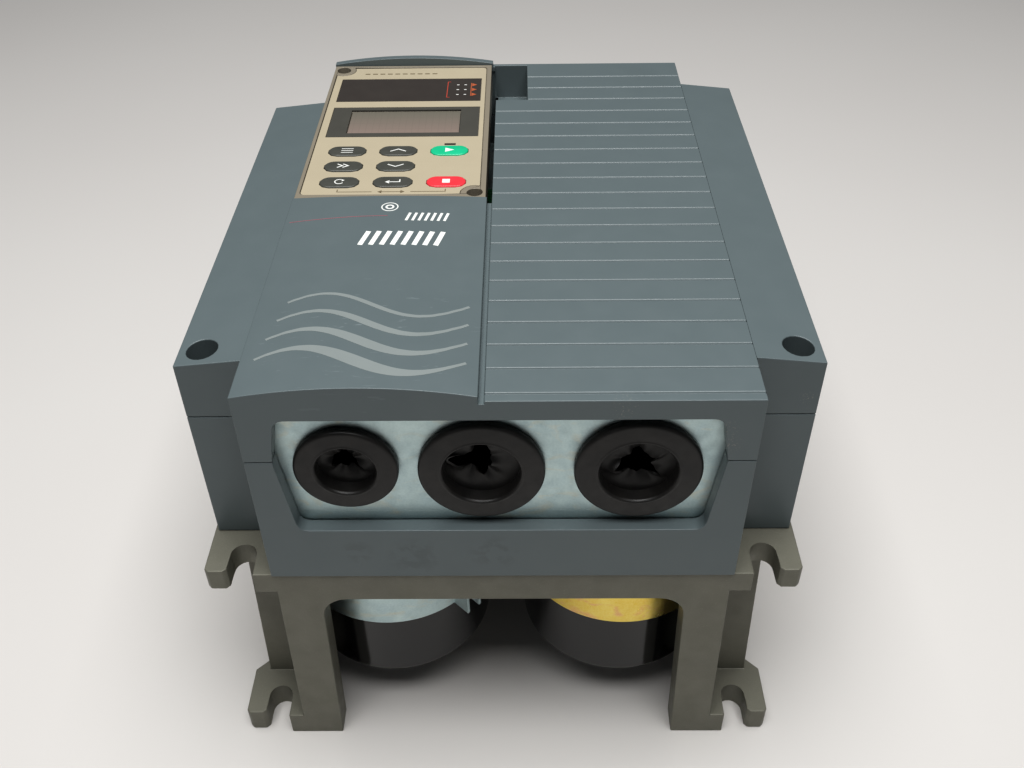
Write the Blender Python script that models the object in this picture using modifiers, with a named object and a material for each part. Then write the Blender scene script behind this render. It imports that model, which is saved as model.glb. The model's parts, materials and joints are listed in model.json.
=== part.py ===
"""Variable frequency drive, lying on its back: +Z leaves the front cover, -Y is the cable entry end.

The origin is under the middle of the drive, on the plane that its mounting feet rest on. Each
sub-part is one object; the empties "fan_axis_..." and "button_travel_..." carry the moving ones.
"""
from math import asin, cos, degrees, pi, radians, sin, tan

import bmesh
import bpy
from mathutils import Matrix, Vector

MM = 0.001
GAP = 0.3 * MM  # left between two pieces that touch

# ---- overall sizes ----
WIDTH = 220 * MM  # over the shoulders
LENGTH = 260 * MM
DEPTH = 196.5 * MM  # mounting plane to the top of the crown

# ---- die-cast base ----
DUCT_HEIGHT = 95 * MM
FLANGE = 10 * MM
FLANGE_INSET = 1 * MM  # the flange's ends stand this far inside the end faces
EAR_REACH = 1.5 * MM  # ears and feet stand this far outside the shoulders
SLOT_WIDTH = 10 * MM  # for M8
SLOT_PITCH_X = WIDTH - 24 * MM
SLOT_PITCH_Y = LENGTH - 22 * MM
PRONG_INSET = 2.7 * MM  # outer prong of an ear, back from the end face
EAR_THICKNESS = 12 * MM
PORTAL_DEPTH = 11 * MM
PORTAL_TOP_HALF = 69 * MM
LEG_WIDTH = 16 * MM
LEG_SPREAD = 2 * MM  # how far a leg leans out on its way down
ARCH_TOP = 90.5 * MM
ARCH_RADIUS = 10 * MM
DUCT_WALL = 3.5 * MM
DUCT_INSET = 4.5 * MM  # duct wall foot, inside the shoulders
DUCT_DRAFT = 3.5 * MM
DUCT_END = 24.4 * MM  # cross wall, back from the end face

# ---- housing and covers ----
WALL = 2.5 * MM
CENTRE_WIDTH = 171 * MM
SHOULDER_SETBACK = 23 * MM
LEFT_SHOULDER_REAR = 40 * MM  # back from the rear end face
RIGHT_SHOULDER_REAR = 22.5 * MM
COVER_HEIGHT = 32.5 * MM  # split line to the top of the crown
PANEL_DROP = 5.8 * MM  # ribbed panel below the top of the crown
CROWN_RISE = 3.9 * MM
CROWN_RISE_AT_KEYPAD = 0.9 * MM
HOOD_RISE = 3.1 * MM
HOOD_DEPTH = 3.5 * MM
SHOULDER_DROP = 7 * MM  # inner edge of a shoulder below the top of the crown
SHOULDER_SLOPE = 2.5 * MM
SEAM = 0.4 * MM  # visible seam between the covers
GROOVE_PITCH = 12.65 * MM
GROOVE_WIDTH = 1 * MM
GROOVE_DEPTH = 0.8 * MM
FIRST_GROOVE = 3.9 * MM
CHANNEL_WIDTH = 2 * MM  # between the crown and the ribbed panel
CHANNEL_DEPTH = 1.3 * MM
WELL_RADIUS = 5.5 * MM  # screw well in a shoulder
WELL_INSET = 8.3 * MM
FINGER_DEPTH = 17 * MM
FINGER_WIDTH = 15.1 * MM
FINGER_GROOVE = 3  # the recess starts at this groove, counted from the rear
VENT_PITCH = 9 * MM
VENT_WIDTH = 4 * MM
VENT_HEIGHT = 32 * MM
VENT_ABOVE_FLANGE = 10 * MM
VENT_MARGIN = 20 * MM
BOSS_HEIGHT = 24 * MM
SCREW_PILOT = 1.7 * MM

# ---- cable entry ----
WINDOW_TOP = 14 * MM  # below the top of the crown
WINDOW_BOTTOM = 25.2 * MM  # above the flange
WINDOW_HALF_TOP = 72.8 * MM
WINDOW_HALF_SPLIT = 76 * MM
WINDOW_HALF_BOTTOM = 71.5 * MM
WINDOW_RADIUS = 4 * MM
REVEAL = 5.7 * MM
SHEET = 1.2 * MM
GROMMET_FLANGE = 3.4 * MM
PLATE_FOOT = 10 * MM
MEMBRANE = 1 * MM
TEAR_RADIUS = 5 * MM
GROMMETS = {  # name: (x, z, flange radius, bore radius)
    "cable_grommet_left": (-52.5 * MM, 157 * MM, 18 * MM, 10.3 * MM),
    "cable_grommet_middle": (-6.3 * MM, 155.7 * MM, 21.8 * MM, 13.3 * MM),
    "cable_grommet_right": (47.2 * MM, 155.7 * MM, 22 * MM, 13.4 * MM),
}

# ---- keypad ----
KEYPAD_TOP_DROP = 4.7 * MM  # rim of the case below the top of the crown
KEYPAD_HEIGHT = 13.5 * MM
KEYPAD_LENGTH = 131 * MM
RIM = 1.2 * MM  # rim above the face that carries the overlay
OVERLAY = 0.5 * MM
FACE = 1.5 * MM  # case wall under the overlay
MARGIN_LEFT = 1.9 * MM
MARGIN_RIGHT = 2.6 * MM
MARGIN_FRONT = 3.6 * MM
MARGIN_REAR = 2.2 * MM
CASE_WALL = 2 * MM
SCREW_INSET = 4.6 * MM
SCREW_WELL = 3.3 * MM
NOTCH_RADIUS = 6.2 * MM
LED_FROM_REAR = 12.6 * MM
LED_HEIGHT = 25.2 * MM
LCD_FROM_REAR = 44 * MM
LCD_HEIGHT = 30 * MM
FIRST_COLUMN = 16.8 * MM
FIRST_ROW = 13.7 * MM
BUTTON_LENGTH = 16.6 * MM
BUTTON_WIDTH = 8.7 * MM
BUTTON_TRAVEL = 0.5 * MM
BUTTON_STEP_X = 22.35 * MM
BUTTON_STEP_Y = 13.7 * MM
BUTTON_FLANGE = 1 * MM
BUTTON_PROUD = 0.5 * MM
BUTTONS = (  # name, column from the left, row from the front, material
    ("button_program", 0, 2, "button_rubber"),
    ("button_shift", 0, 1, "button_rubber"),
    ("button_reset", 0, 0, "button_rubber"),
    ("button_up", 1, 2, "button_rubber"),
    ("button_down", 1, 1, "button_rubber"),
    ("button_data", 1, 0, "button_rubber"),
    ("button_run", 2, 2, "button_green"),
    ("button_stop", 2, 0, "button_red"),
)

# ---- DC capacitors ----
CAN_RADIUS = 40 * MM
CAN_BOTTOM = 26.6 * MM
CAN_TOP_ABOVE_FLANGE = 7 * MM
CAN_SPACING = 96 * MM
CAN_FROM_FRONT = 54 * MM
CLAMP_BOTTOM = 61 * MM
CLAMP_SCREW = 2 * MM
TERMINAL_RADIUS = 5 * MM
TERMINAL_HEIGHT = 3 * MM
TERMINAL_STEP = 32 * MM
CLAMP_EAR = 8 * MM
CLAMP_EAR_GAP = 5 * MM

# ---- heatsink and fans ----
FIN_HEIGHT = 70 * MM
FIN_THICKNESS = 1.8 * MM
FIN_PITCH = 7.6 * MM
SINK_BASE = 8.7 * MM
LAND_HALF = 78 * MM
LAND_LENGTH = 88 * MM
SINK_MARGIN = 6 * MM
SINK_CLEARANCE = 4 * MM  # outermost fin to the duct wall
FAN_SIZE = 80 * MM
FAN_DEPTH = 25 * MM
FAN_WALL = 1.5 * MM
FAN_BOLT_INSET = 4.3 * MM
FAN_BOLT_HOLE = 2.2 * MM
FAN_HOLDER = 3 * MM  # plate and struts that carry the shaft
STRUT_WIDTH = 4 * MM
BLADES = 7
BLADE_CHORD = 18 * MM
BLADE_THICKNESS = 1.4 * MM
BLADE_PITCH = 40  # degrees
BLADE_MIDDLE = 11.5 * MM  # behind the intake face
TIP_CLEARANCE = 1.5 * MM
HUB_RADIUS = 17 * MM
HUB_FACE = 1.2 * MM  # behind the intake face
SHAFT_RADIUS = 1.5 * MM
SHAFT_CLEARANCE = 0.08 * MM
SHAFT_SEAT = 9 * MM
GUARD_WIRE = 0.8 * MM
GUARD_RINGS = 3
GUARD_RING_STEP = 10 * MM
GUARD_EYE = 3.6 * MM

# ---- inside the housing ----
BOARD = 1.6 * MM
MODULE_HEIGHT = 17 * MM
MODULE_GAP = 4 * MM
LUG_LENGTH = 12 * MM
LUG_HEIGHT = 8 * MM
RECTIFIER = (94 * MM, 34 * MM)  # width and length
IGBT = (122 * MM, 42 * MM)
BOARD_CLEARANCE = 12.5 * MM  # power board to the housing walls
BOARD_OVERHANG = 10 * MM  # past the heatsink in front and past the modules behind
SENSOR = (20 * MM, 14 * MM, 20 * MM)
SENSOR_HOLE = 4.5 * MM
SENSOR_FROM_REAR = 22 * MM
SENSORS = {"current_sensor_u": 12 * MM, "current_sensor_w": 44 * MM}
RELAY = (28 * MM, 30 * MM, 22 * MM)
RELAY_SPOT = (38 * MM, 14 * MM)  # from the middle, and from the front edge of the power board
TRANSFORMER = (36 * MM, 30 * MM, 20 * MM)
TRANSFORMER_SPOT = (-70 * MM, 62 * MM)
WINDING_INSET = (6 * MM, -4 * MM, 3 * MM)
BAR = 2 * MM  # thickness of the bus bars
BAR_TURN = 6 * MM  # upright of a bus bar, in front of the heatsink
TERMINAL_BLOCK = (144 * MM, 28 * MM, 21 * MM, 9)  # width, depth, height and ways
CONTROL_TERMINALS = (120 * MM, 10 * MM, 10 * MM, 12)
BARRIER = 1.6 * MM
BARRIER_SHARE = 0.45  # of a terminal block's height
CONTROL_BOARD_WIDTH = 140 * MM
CONTROL_REACH = 67 * MM  # how far the control board runs under the keypad
STANDOFF_INSET = (10 * MM, 8 * MM)
STANDOFF_RADIUS = 3 * MM
CONNECTOR = (12 * MM, 6 * MM)
CONNECTOR_SPOT = (33 * MM, 31 * MM)  # its corner, from the keypad's front left corner
SHELF_ABOVE_FLANGE = 17 * MM
TRAY_ABOVE_FLANGE = 45 * MM
STANDOFF = 4.5 * MM
SHELF_DEPTH = 70 * MM
POST_SPACING = 148 * MM
POST = 8 * MM  # side of the square posts that carry the control tray

# ---- derived ----
HALF_W = WIDTH / 2
HALF_L = LENGTH / 2
CENTRE = CENTRE_WIDTH / 2
FLANGE_TOP = DUCT_HEIGHT + FLANGE
SPLIT = DEPTH - COVER_HEIGHT
PANEL = DEPTH - PANEL_DROP
GROOVES = int((LENGTH - FIRST_GROOVE - 10 * MM) / GROOVE_PITCH) + 1
CROWN_END = DEPTH - CROWN_RISE
SHOULDER_FRONT = -HALF_L + SHOULDER_SETBACK
SHOULDER_REAR = {-1: HALF_L - LEFT_SHOULDER_REAR, 1: HALF_L - RIGHT_SHOULDER_REAR}
KEYPAD_TOP = DEPTH - KEYPAD_TOP_DROP
KEYPAD_REAR = HALF_L - HOOD_DEPTH - GAP
KEYPAD_FRONT = KEYPAD_REAR - KEYPAD_LENGTH
KEYPAD_LEFT = -CENTRE + GAP
KEYPAD_RIGHT = -6.9 * MM
CHANNEL_RIGHT = KEYPAD_RIGHT + 2.6 * MM
CHANNEL_LEFT = CHANNEL_RIGHT - CHANNEL_WIDTH
OVERLAY_LOW = KEYPAD_TOP - RIM + GAP
OVERLAY_TOP = OVERLAY_LOW + OVERLAY
CAVITY_TOP = PANEL - WALL
PLATE_FRONT = -HALF_L + REVEAL + GAP
CAN_Y = -HALF_L + CAN_FROM_FRONT
BOARD_Z = FLANGE_TOP + GAP + MODULE_HEIGHT + GAP
TRAY_Z = FLANGE_TOP + TRAY_ABOVE_FLANGE
CONTROL_Z = TRAY_Z + SHEET + STANDOFF + GAP
KEYPAD_BOARD_Z = KEYPAD_TOP - KEYPAD_HEIGHT + 1.7 * MM
SINK_FRONT = CAN_Y + CAN_RADIUS + 14 * MM
SHELF_REAR = -HALF_L + SHELF_DEPTH
NECK = PORTAL_TOP_HALF + LEG_WIDTH + 1.5 * MM - DUCT_WALL  # inner face of the rear duct neck

AXIS_TURN = {"Y": (pi / 2, 0, 0), "Z": (0, 0, 0)}
AXIS_SWAP = {  # the same turns without rounding, so that faces in one plane stay in it
    "X": Matrix(((0, 0, 1), (1, 0, 0), (0, 1, 0))),
    "Y": Matrix(((1, 0, 0), (0, 0, -1), (0, 1, 0))),
    "Z": Matrix.Identity(3),
}
PLANE_AXIS = {"XY": "Z", "XZ": "Y", "YZ": "X"}
MATERIALS = {  # base colour, roughness, metallic
    "cover_plastic": ((0.16, 0.19, 0.205), 0.5, 0.0),
    "cast_aluminium": ((0.09, 0.09, 0.075), 0.6, 0.3),
    "bare_aluminium": ((0.62, 0.63, 0.64), 0.4, 1.0),
    "zinc_plate": ((0.55, 0.62, 0.65), 0.35, 1.0),
    "zinc_yellow": ((0.75, 0.60, 0.25), 0.35, 1.0),
    "grommet_rubber": ((0.02, 0.02, 0.02), 0.55, 0.0),
    "can_sleeve": ((0.012, 0.012, 0.013), 0.25, 0.0),
    "keypad_case": ((0.15, 0.13, 0.11), 0.5, 0.0),
    "keypad_film": ((0.60, 0.50, 0.32), 0.45, 0.0),
    "smoked_window": ((0.03, 0.02, 0.02), 0.15, 0.0),
    "lcd_surround": ((0.08, 0.08, 0.07), 0.4, 0.0),
    "lcd_glass": ((0.28, 0.24, 0.22), 0.15, 0.0),
    "button_rubber": ((0.04, 0.045, 0.04), 0.5, 0.0),
    "button_green": ((0.0, 0.60, 0.26), 0.5, 0.0),
    "button_red": ((0.90, 0.04, 0.07), 0.5, 0.0),
    "circuit_board": ((0.02, 0.14, 0.05), 0.4, 0.0),
    "terminal_plastic": ((0.03, 0.03, 0.03), 0.5, 0.0),
    "module_plastic": ((0.45, 0.43, 0.38), 0.5, 0.0),
    "copper_bar": ((0.75, 0.35, 0.20), 0.3, 1.0),
    "steel_screw": ((0.50, 0.50, 0.48), 0.35, 1.0),
    "fan_plastic": ((0.015, 0.015, 0.015), 0.5, 0.0),
    "relay_case": ((0.05, 0.12, 0.35), 0.4, 0.0),
}


def clear_scene():
    for obj in list(bpy.data.objects):
        bpy.data.objects.remove(obj, do_unlink=True)


def collection(name):
    group = bpy.data.collections.new(name)
    bpy.context.scene.collection.children.link(group)
    return group


def make_material(name):
    colour, roughness, metallic = MATERIALS[name]
    material = bpy.data.materials.new(name)
    material.use_nodes = True
    shader = material.node_tree.nodes["Principled BSDF"]
    shader.inputs["Base Color"].default_value = (*colour, 1)
    shader.inputs["Roughness"].default_value = roughness
    shader.inputs["Metallic"].default_value = metallic
    return material


def register(obj, material):
    """A piece has a material; anything without one is a cutter or a shape joined to a piece."""
    if material:
        obj.data.materials.append(bpy.data.materials[material])
        PARTS.objects.link(obj)
    else:
        CUTTERS.objects.link(obj)
        obj.hide_render = True
        obj.display_type = "WIRE"
    return obj


def mesh_object(name, form, location, axis="Z", material=None):
    mesh = bpy.data.meshes.new(name)
    bmesh.ops.transform(form, matrix=AXIS_SWAP[axis].to_4x4(), verts=form.verts)
    form.to_mesh(mesh)
    form.free()
    obj = bpy.data.objects.new(name, mesh)
    obj.location = location
    return register(obj, material)


def box(name, low, high, material=None):
    low, high = Vector(low), Vector(high)
    form = bmesh.new()
    bmesh.ops.create_cube(form, size=1)
    bmesh.ops.scale(form, vec=high - low, verts=form.verts)
    return mesh_object(name, form, (low + high) / 2, material=material)


def cylinder(name, radius, low, high, centre, axis="Z", material=None, segments=20):
    """centre is the middle of a round face, without its coordinate along the axis."""
    form = bmesh.new()
    bmesh.ops.create_cone(form, cap_ends=True, segments=segments, radius1=radius, radius2=radius,
                          depth=high - low)
    location = list(centre)
    location.insert("XYZ".index(axis), (low + high) / 2)
    return mesh_object(name, form, location, axis, material)


def extrusion(name, outlines, low, high, plane="XY", material=None):
    """Flat outlines in a plane, drawn out from low to high along its normal."""
    form = bmesh.new()
    half = Vector((0, 0, (high - low) / 2))
    for outline in outlines:
        face = form.faces.new([form.verts.new(Vector((*point, 0)) - half) for point in outline])
        grown = bmesh.ops.extrude_face_region(form, geom=[face])["geom"]
        top = [item for item in grown if isinstance(item, bmesh.types.BMVert)]
        bmesh.ops.translate(form, vec=2 * half, verts=top)
    bmesh.ops.recalc_face_normals(form, faces=form.faces)
    axis = PLANE_AXIS[plane]
    location = [0, 0, 0]
    location["XYZ".index(axis)] = (low + high) / 2
    return mesh_object(name, form, location, axis, material)


def turned(name, profile, location, axis="Z", material=None, steps=32):
    """profile: (radius, height) points down the outer side and back up the bore."""
    form = bmesh.new()
    points = [form.verts.new((radius, 0, height)) for radius, height in profile]
    closed = points + points[:1] if profile[0][0] > 0 else points
    for first, second in zip(closed, closed[1:]):
        form.edges.new((first, second))
    obj = mesh_object(name, form, location, material=material)
    obj.rotation_euler = AXIS_TURN[axis]
    screw = obj.modifiers.new("turn", "SCREW")
    screw.axis = "Z"
    screw.steps = steps
    screw.render_steps = steps
    screw.use_merge_vertices = True
    screw.merge_threshold = 0.001 * MM
    screw.use_smooth_shade = False
    return obj


def boolean(obj, other, operation):
    modifier = obj.modifiers.new(operation.lower(), "BOOLEAN")
    modifier.operation = operation
    modifier.object = other
    modifier.solver = "EXACT"


def join(obj, *others):
    for other in others:
        boolean(obj, other, "UNION")
    return obj


def cut(obj, *others):
    for other in others:
        boolean(obj, other, "DIFFERENCE")
    return obj


def arc(centre, radius, start, end, steps):
    """Points on an arc, angles in degrees, both ends included."""
    turn = (radians(start + (end - start) * i / steps) for i in range(steps + 1))
    return [(centre[0] + radius * cos(a), centre[1] + radius * sin(a)) for a in turn]


def rectangle(x0, x1, y0, y1):
    return [(x0, y0), (x1, y0), (x1, y1), (x0, y1)]


def rounded(points, radius, steps=4):
    """The outline with each corner replaced by an arc."""
    result = []
    for i, corner in enumerate(points):
        corner = Vector(corner)
        before = (Vector(points[i - 1]) - corner).normalized()
        after = (Vector(points[(i + 1) % len(points)]) - corner).normalized()
        half = before.angle(after) / 2
        centre = corner + (before + after).normalized() * (radius / sin(half))
        start = corner + before * (radius / tan(half)) - centre
        end = corner + after * (radius / tan(half)) - centre
        sweep = start.angle_signed(end)
        for k in range(steps + 1):
            a = -sweep * k / steps
            result.append((centre.x + start.x * cos(a) - start.y * sin(a),
                           centre.y + start.x * sin(a) + start.y * cos(a)))
    return result


def stadium(x, y, length, width, steps=5):
    reach = (length - width) / 2
    right = arc((x + reach, y), width / 2, -90, 90, steps)
    left = arc((x - reach, y), width / 2, 90, 270, steps)
    return right + left


def mirrored(points):
    return [(-x, y) for x, y in reversed(points)]


# ---------------------------------------------------------------- die-cast base

def ear_points(sx, sy):
    """The open slot of one ear and the prong outside it, from the end face to the side."""
    x, y = SLOT_PITCH_X / 2, SLOT_PITCH_Y / 2
    half = SLOT_WIDTH / 2
    edge = HALF_W + EAR_REACH
    tip = HALF_L - PRONG_INSET
    chamfer = 1.5 * MM
    points = [(x - half, HALF_L - FLANGE_INSET)]
    points += [(x - half * cos(radians(a)), y - half * sin(radians(a))) for a in range(0, 181, 12)]
    points += [(x + half, tip - chamfer), (x + half + chamfer, tip), (edge - chamfer, tip),
               (edge, tip - chamfer)]
    points = [(sx * px, sy * py) for px, py in points]
    return points if sx * sy > 0 else points[::-1]


def duct_shell(top):
    """Walls of the air duct: full width between the ears, a neck at each end, open below."""
    foot = HALF_W - DUCT_INSET
    cross = HALF_L - DUCT_END
    neck = NECK + DUCT_WALL
    front = -HALF_L + FLANGE_INSET + PORTAL_DEPTH - 2 * MM
    half = [(neck, front), (neck, -cross), (foot, -cross), (foot, cross), (neck, cross),
            (neck, HALF_L - FLANGE_INSET)]
    wide, end = foot - DUCT_WALL, cross - DUCT_WALL
    room = [(NECK, front - MM), (NECK, -end), (wide, -end), (wide, end), (NECK, end), (NECK, HALF_L)]
    shell = extrusion("duct_walls", [half + mirrored(half)], 0, top)
    space = extrusion("duct_room", [room + mirrored(room)], -MM, top + MM)
    for obj in (shell, space):
        for vertex in obj.data.vertices:
            if vertex.co.z > 0 and abs(vertex.co.x) > neck + MM:
                vertex.co.x -= DUCT_DRAFT if vertex.co.x > 0 else -DUCT_DRAFT
    return cut(shell, space)


def heatsink_frame():
    """The die casting: flange with four ears, duct walls, portals and wall-mounting feet."""
    outline = ear_points(1, 1) + ear_points(1, -1) + ear_points(-1, -1) + ear_points(-1, 1)
    frame = extrusion("heatsink_frame", [outline], DUCT_HEIGHT, FLANGE_TOP, material="cast_aluminium")
    inside = DUCT_HEIGHT + MM
    leg = PORTAL_TOP_HALF + LEG_WIDTH
    half = [(leg, inside), (leg + LEG_SPREAD, 0), (PORTAL_TOP_HALF + LEG_SPREAD, 0)]
    crown = arc((PORTAL_TOP_HALF - ARCH_RADIUS, ARCH_TOP - ARCH_RADIUS), ARCH_RADIUS, 0, 90, 6)
    half += crown
    portal_low = -HALF_L + FLANGE_INSET
    walls = [extrusion("front_portal", [half + mirrored(half)], portal_low,
                       portal_low + PORTAL_DEPTH, "XZ")]
    walls.append(duct_shell(inside))
    cross = HALF_L - DUCT_END
    side = HALF_W - DUCT_INSET - MM
    heel = HALF_W + EAR_REACH - side
    for sx in (-1, 1):
        for sy in (-1, 1):
            inner = PORTAL_TOP_HALF + LEG_SPREAD + 5 * MM if sy < 0 else NECK
            corner = [(sx * inner, sy * (HALF_L - FLANGE_INSET))]
            back = [(HALF_W + EAR_REACH, cross), (side, cross - heel), (side, cross - MM),
                    (inner, cross - MM)]
            back = [(sx * x, sy * y) for x, y in back]
            ear = ear_points(sx, sy)
            foot = corner + ear + back if sx * sy > 0 else ear + corner + back[::-1]
            walls.append(extrusion("foot_ear", [foot], 0, EAR_THICKNESS))
    rear_lintel = rectangle(-leg, leg, ARCH_TOP, inside)
    walls.append(extrusion("rear_lintel", [rear_lintel], HALF_L - FLANGE_INSET - 3 * MM,
                           HALF_L - FLANGE_INSET, "XZ"))
    join(frame, *walls)
    for sx in (-1, 1):
        cut(frame, cylinder("can_opening", CAN_RADIUS + 0.6 * MM, DUCT_HEIGHT - MM,
                            FLANGE_TOP + MM, (sx * CAN_SPACING / 2, CAN_Y), segments=36))
    y0, y1 = SINK_FRONT + SINK_MARGIN, SINK_FRONT + SINK_MARGIN + LAND_LENGTH
    cut(frame, box("sink_window", (-LAND_HALF - SEAM, y0 - SEAM, DUCT_HEIGHT - MM),
                   (LAND_HALF + SEAM, y1 + SEAM, FLANGE_TOP + MM)))


def heatsink():
    """Extruded fins under a base whose land fills the window in the flange."""
    half = HALF_W - DUCT_INSET - DUCT_DRAFT - DUCT_WALL - SINK_CLEARANCE
    base_low = DUCT_HEIGHT - GAP - SINK_BASE
    count = int((2 * half - FIN_THICKNESS) / FIN_PITCH)
    first = -count * FIN_PITCH / 2
    comb = [(half, DUCT_HEIGHT - GAP), (-half, DUCT_HEIGHT - GAP), (-half, base_low)]
    for i in range(count + 1):
        x = first + i * FIN_PITCH
        left, right = x - FIN_THICKNESS / 2, x + FIN_THICKNESS / 2
        comb += [(left, base_low), (left, base_low - FIN_HEIGHT), (right, base_low - FIN_HEIGHT),
                 (right, base_low)]
    comb.append((half, base_low))
    rear = SINK_FRONT + LAND_LENGTH + 2 * SINK_MARGIN
    sink = extrusion("heatsink", [comb], SINK_FRONT, rear, "XZ", "bare_aluminium")
    join(sink, box("land", (-LAND_HALF, SINK_FRONT + SINK_MARGIN, DUCT_HEIGHT - 2 * MM),
                   (LAND_HALF, rear - SINK_MARGIN, FLANGE_TOP)))


def capacitors():
    top = FLANGE_TOP + CAN_TOP_ABOVE_FLANGE
    for side, sx in (("left", -1), ("right", 1)):
        x = sx * CAN_SPACING / 2
        can = cylinder("dc_capacitor_" + side, CAN_RADIUS, CAN_BOTTOM, top, (x, CAN_Y),
                       material="can_sleeve", segments=36)
        for offset in (-1, 1):
            join(can, cylinder("terminal", TERMINAL_RADIUS, top - MM, top + TERMINAL_HEIGHT,
                               (x + offset * TERMINAL_STEP / 2, CAN_Y), segments=10))


def capacitor_clamps():
    """Sheet bands round the cans, closed by a screw through two ears."""
    inner = CAN_RADIUS + GAP
    outer = inner + SHEET
    half = CLAMP_EAR_GAP / 2
    reach = outer + CLAMP_EAR
    outside = degrees(asin((half + SHEET) / outer))
    inside = degrees(asin(half / inner))
    band = [(reach, half), (reach, half + SHEET)]
    band += arc((0, 0), outer, outside, 360 - outside, 30)
    band += [(reach, -half - SHEET), (reach, -half)]
    band += arc((0, 0), inner, 360 - inside, inside, 30)
    middle = (CLAMP_BOTTOM + DUCT_HEIGHT) / 2
    away = outer + CLAMP_EAR / 2 + MM
    seat = half + SHEET + GAP
    head = 1.8 * CLAMP_SCREW
    profile = [(0, seat + 3 * MM), (head, seat + 3 * MM), (head, seat), (CLAMP_SCREW, seat),
               (CLAMP_SCREW, -seat), (head, -seat), (head, -seat - 3 * MM), (0, -seat - 3 * MM)]
    for side, sx, bearing, finish in (("left", -1, -44, "zinc_plate"), ("right", 1, 95, "zinc_yellow")):
        x = sx * CAN_SPACING / 2
        turn = radians(bearing)
        outline = [(x + u * cos(turn) - v * sin(turn), CAN_Y + u * sin(turn) + v * cos(turn))
                   for u, v in band]
        clamp = extrusion("capacitor_clamp_" + side, [outline], CLAMP_BOTTOM, DUCT_HEIGHT - GAP,
                          material=finish)
        place = (x + away * cos(turn), CAN_Y + away * sin(turn), middle)
        hole = cylinder("clamp_hole", CLAMP_SCREW + GAP, -2 * seat, 2 * seat, (0, 0), segments=16)
        screw = turned("clamp_screw_" + side, profile, place, material="steel_screw", steps=12)
        for obj in (hole, screw):
            obj.location = place
            obj.rotation_euler = (pi / 2, 0, turn)
        cut(clamp, hole)


# ---------------------------------------------------------------- housing and covers

def housing_outline(inset):
    """The cross-shaped plan of the housing, drawn in by inset."""
    c, w = CENTRE - inset, HALF_W - inset
    end = HALF_L - inset
    front = SHOULDER_FRONT + inset
    right, left = SHOULDER_REAR[1] - inset, SHOULDER_REAR[-1] - inset
    return [(-c, -end), (c, -end), (c, front), (w, front), (w, right), (c, right),
            (c, end), (-c, end), (-c, left), (-w, left), (-w, front), (-c, front)]


def window_outline(grow=0):
    top, bottom = DEPTH - WINDOW_TOP + grow, FLANGE_TOP + WINDOW_BOTTOM - grow
    half = [(WINDOW_HALF_BOTTOM + grow, bottom), (WINDOW_HALF_SPLIT + grow, SPLIT),
            (WINDOW_HALF_TOP + grow, top)]
    return half + mirrored(half)


def window_cutter(name):
    low = -HALF_L - MM
    return extrusion(name, [rounded(window_outline(), WINDOW_RADIUS)], low,
                     -HALF_L + REVEAL + MM, "XZ")


def main_housing():
    low = FLANGE_TOP + GAP
    high = SPLIT - GAP / 2
    housing = extrusion("main_housing", [housing_outline(0)], low, high, material="cover_plastic")
    cut(housing, extrusion("housing_room", [housing_outline(WALL)], low - MM, high + MM))
    inner = CENTRE - WALL + MM
    shelf = FLANGE_TOP + SHELF_ABOVE_FLANGE
    front = -HALF_L + REVEAL
    join(housing, box("reveal_block", (-inner, -HALF_L + MM, FLANGE_TOP + WINDOW_BOTTOM - 3 * MM),
                      (inner, front, high)))
    join(housing, box("shelf", (-inner, front - MM, shelf), (inner, SHELF_REAR, shelf + WALL)))
    for sx in (-1, 1):
        x0, x1 = sorted((sx * (HALF_W - WALL + MM), sx * (HALF_W - 2 * WELL_INSET + 2 * MM)))
        y = SHOULDER_FRONT + WELL_INSET
        boss = box("screw_boss", (x0, SHOULDER_FRONT + WALL - MM, high - BOSS_HEIGHT),
                   (x1, y + WELL_RADIUS, high))
        x = sx * POST_SPACING / 2
        front_post = box("front_post", (x - POST / 2, SHELF_REAR - MM - POST, shelf + MM),
                         (x + POST / 2, SHELF_REAR - MM, TRAY_Z - GAP))
        x0, x1 = sorted((sx * inner, sx * (inner - POST)))
        rear_post = box("rear_post", (x0, HALF_L - 2 * POST, TRAY_Z - 10 * MM),
                        (x1, HALF_L - WALL + MM, TRAY_Z - GAP))
        join(housing, boss, front_post, rear_post)
        cut(housing, cylinder("screw_pilot", SCREW_PILOT, high - BOSS_HEIGHT + 4 * MM, high + MM,
                              (sx * (HALF_W - WELL_INSET), y), segments=16))
    cut(housing, window_cutter("window_lower"))
    count = int((CENTRE_WIDTH - 2 * VENT_MARGIN) / VENT_PITCH)
    middles = ((i - (count - 1) / 2) * VENT_PITCH for i in range(count))
    vents = [rectangle(x - VENT_WIDTH / 2, x + VENT_WIDTH / 2, low + VENT_ABOVE_FLANGE,
                       low + VENT_ABOVE_FLANGE + VENT_HEIGHT) for x in middles]
    cut(housing, extrusion("vents", vents, HALF_L - 2 * WALL, HALF_L + MM, "XZ"))


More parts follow.
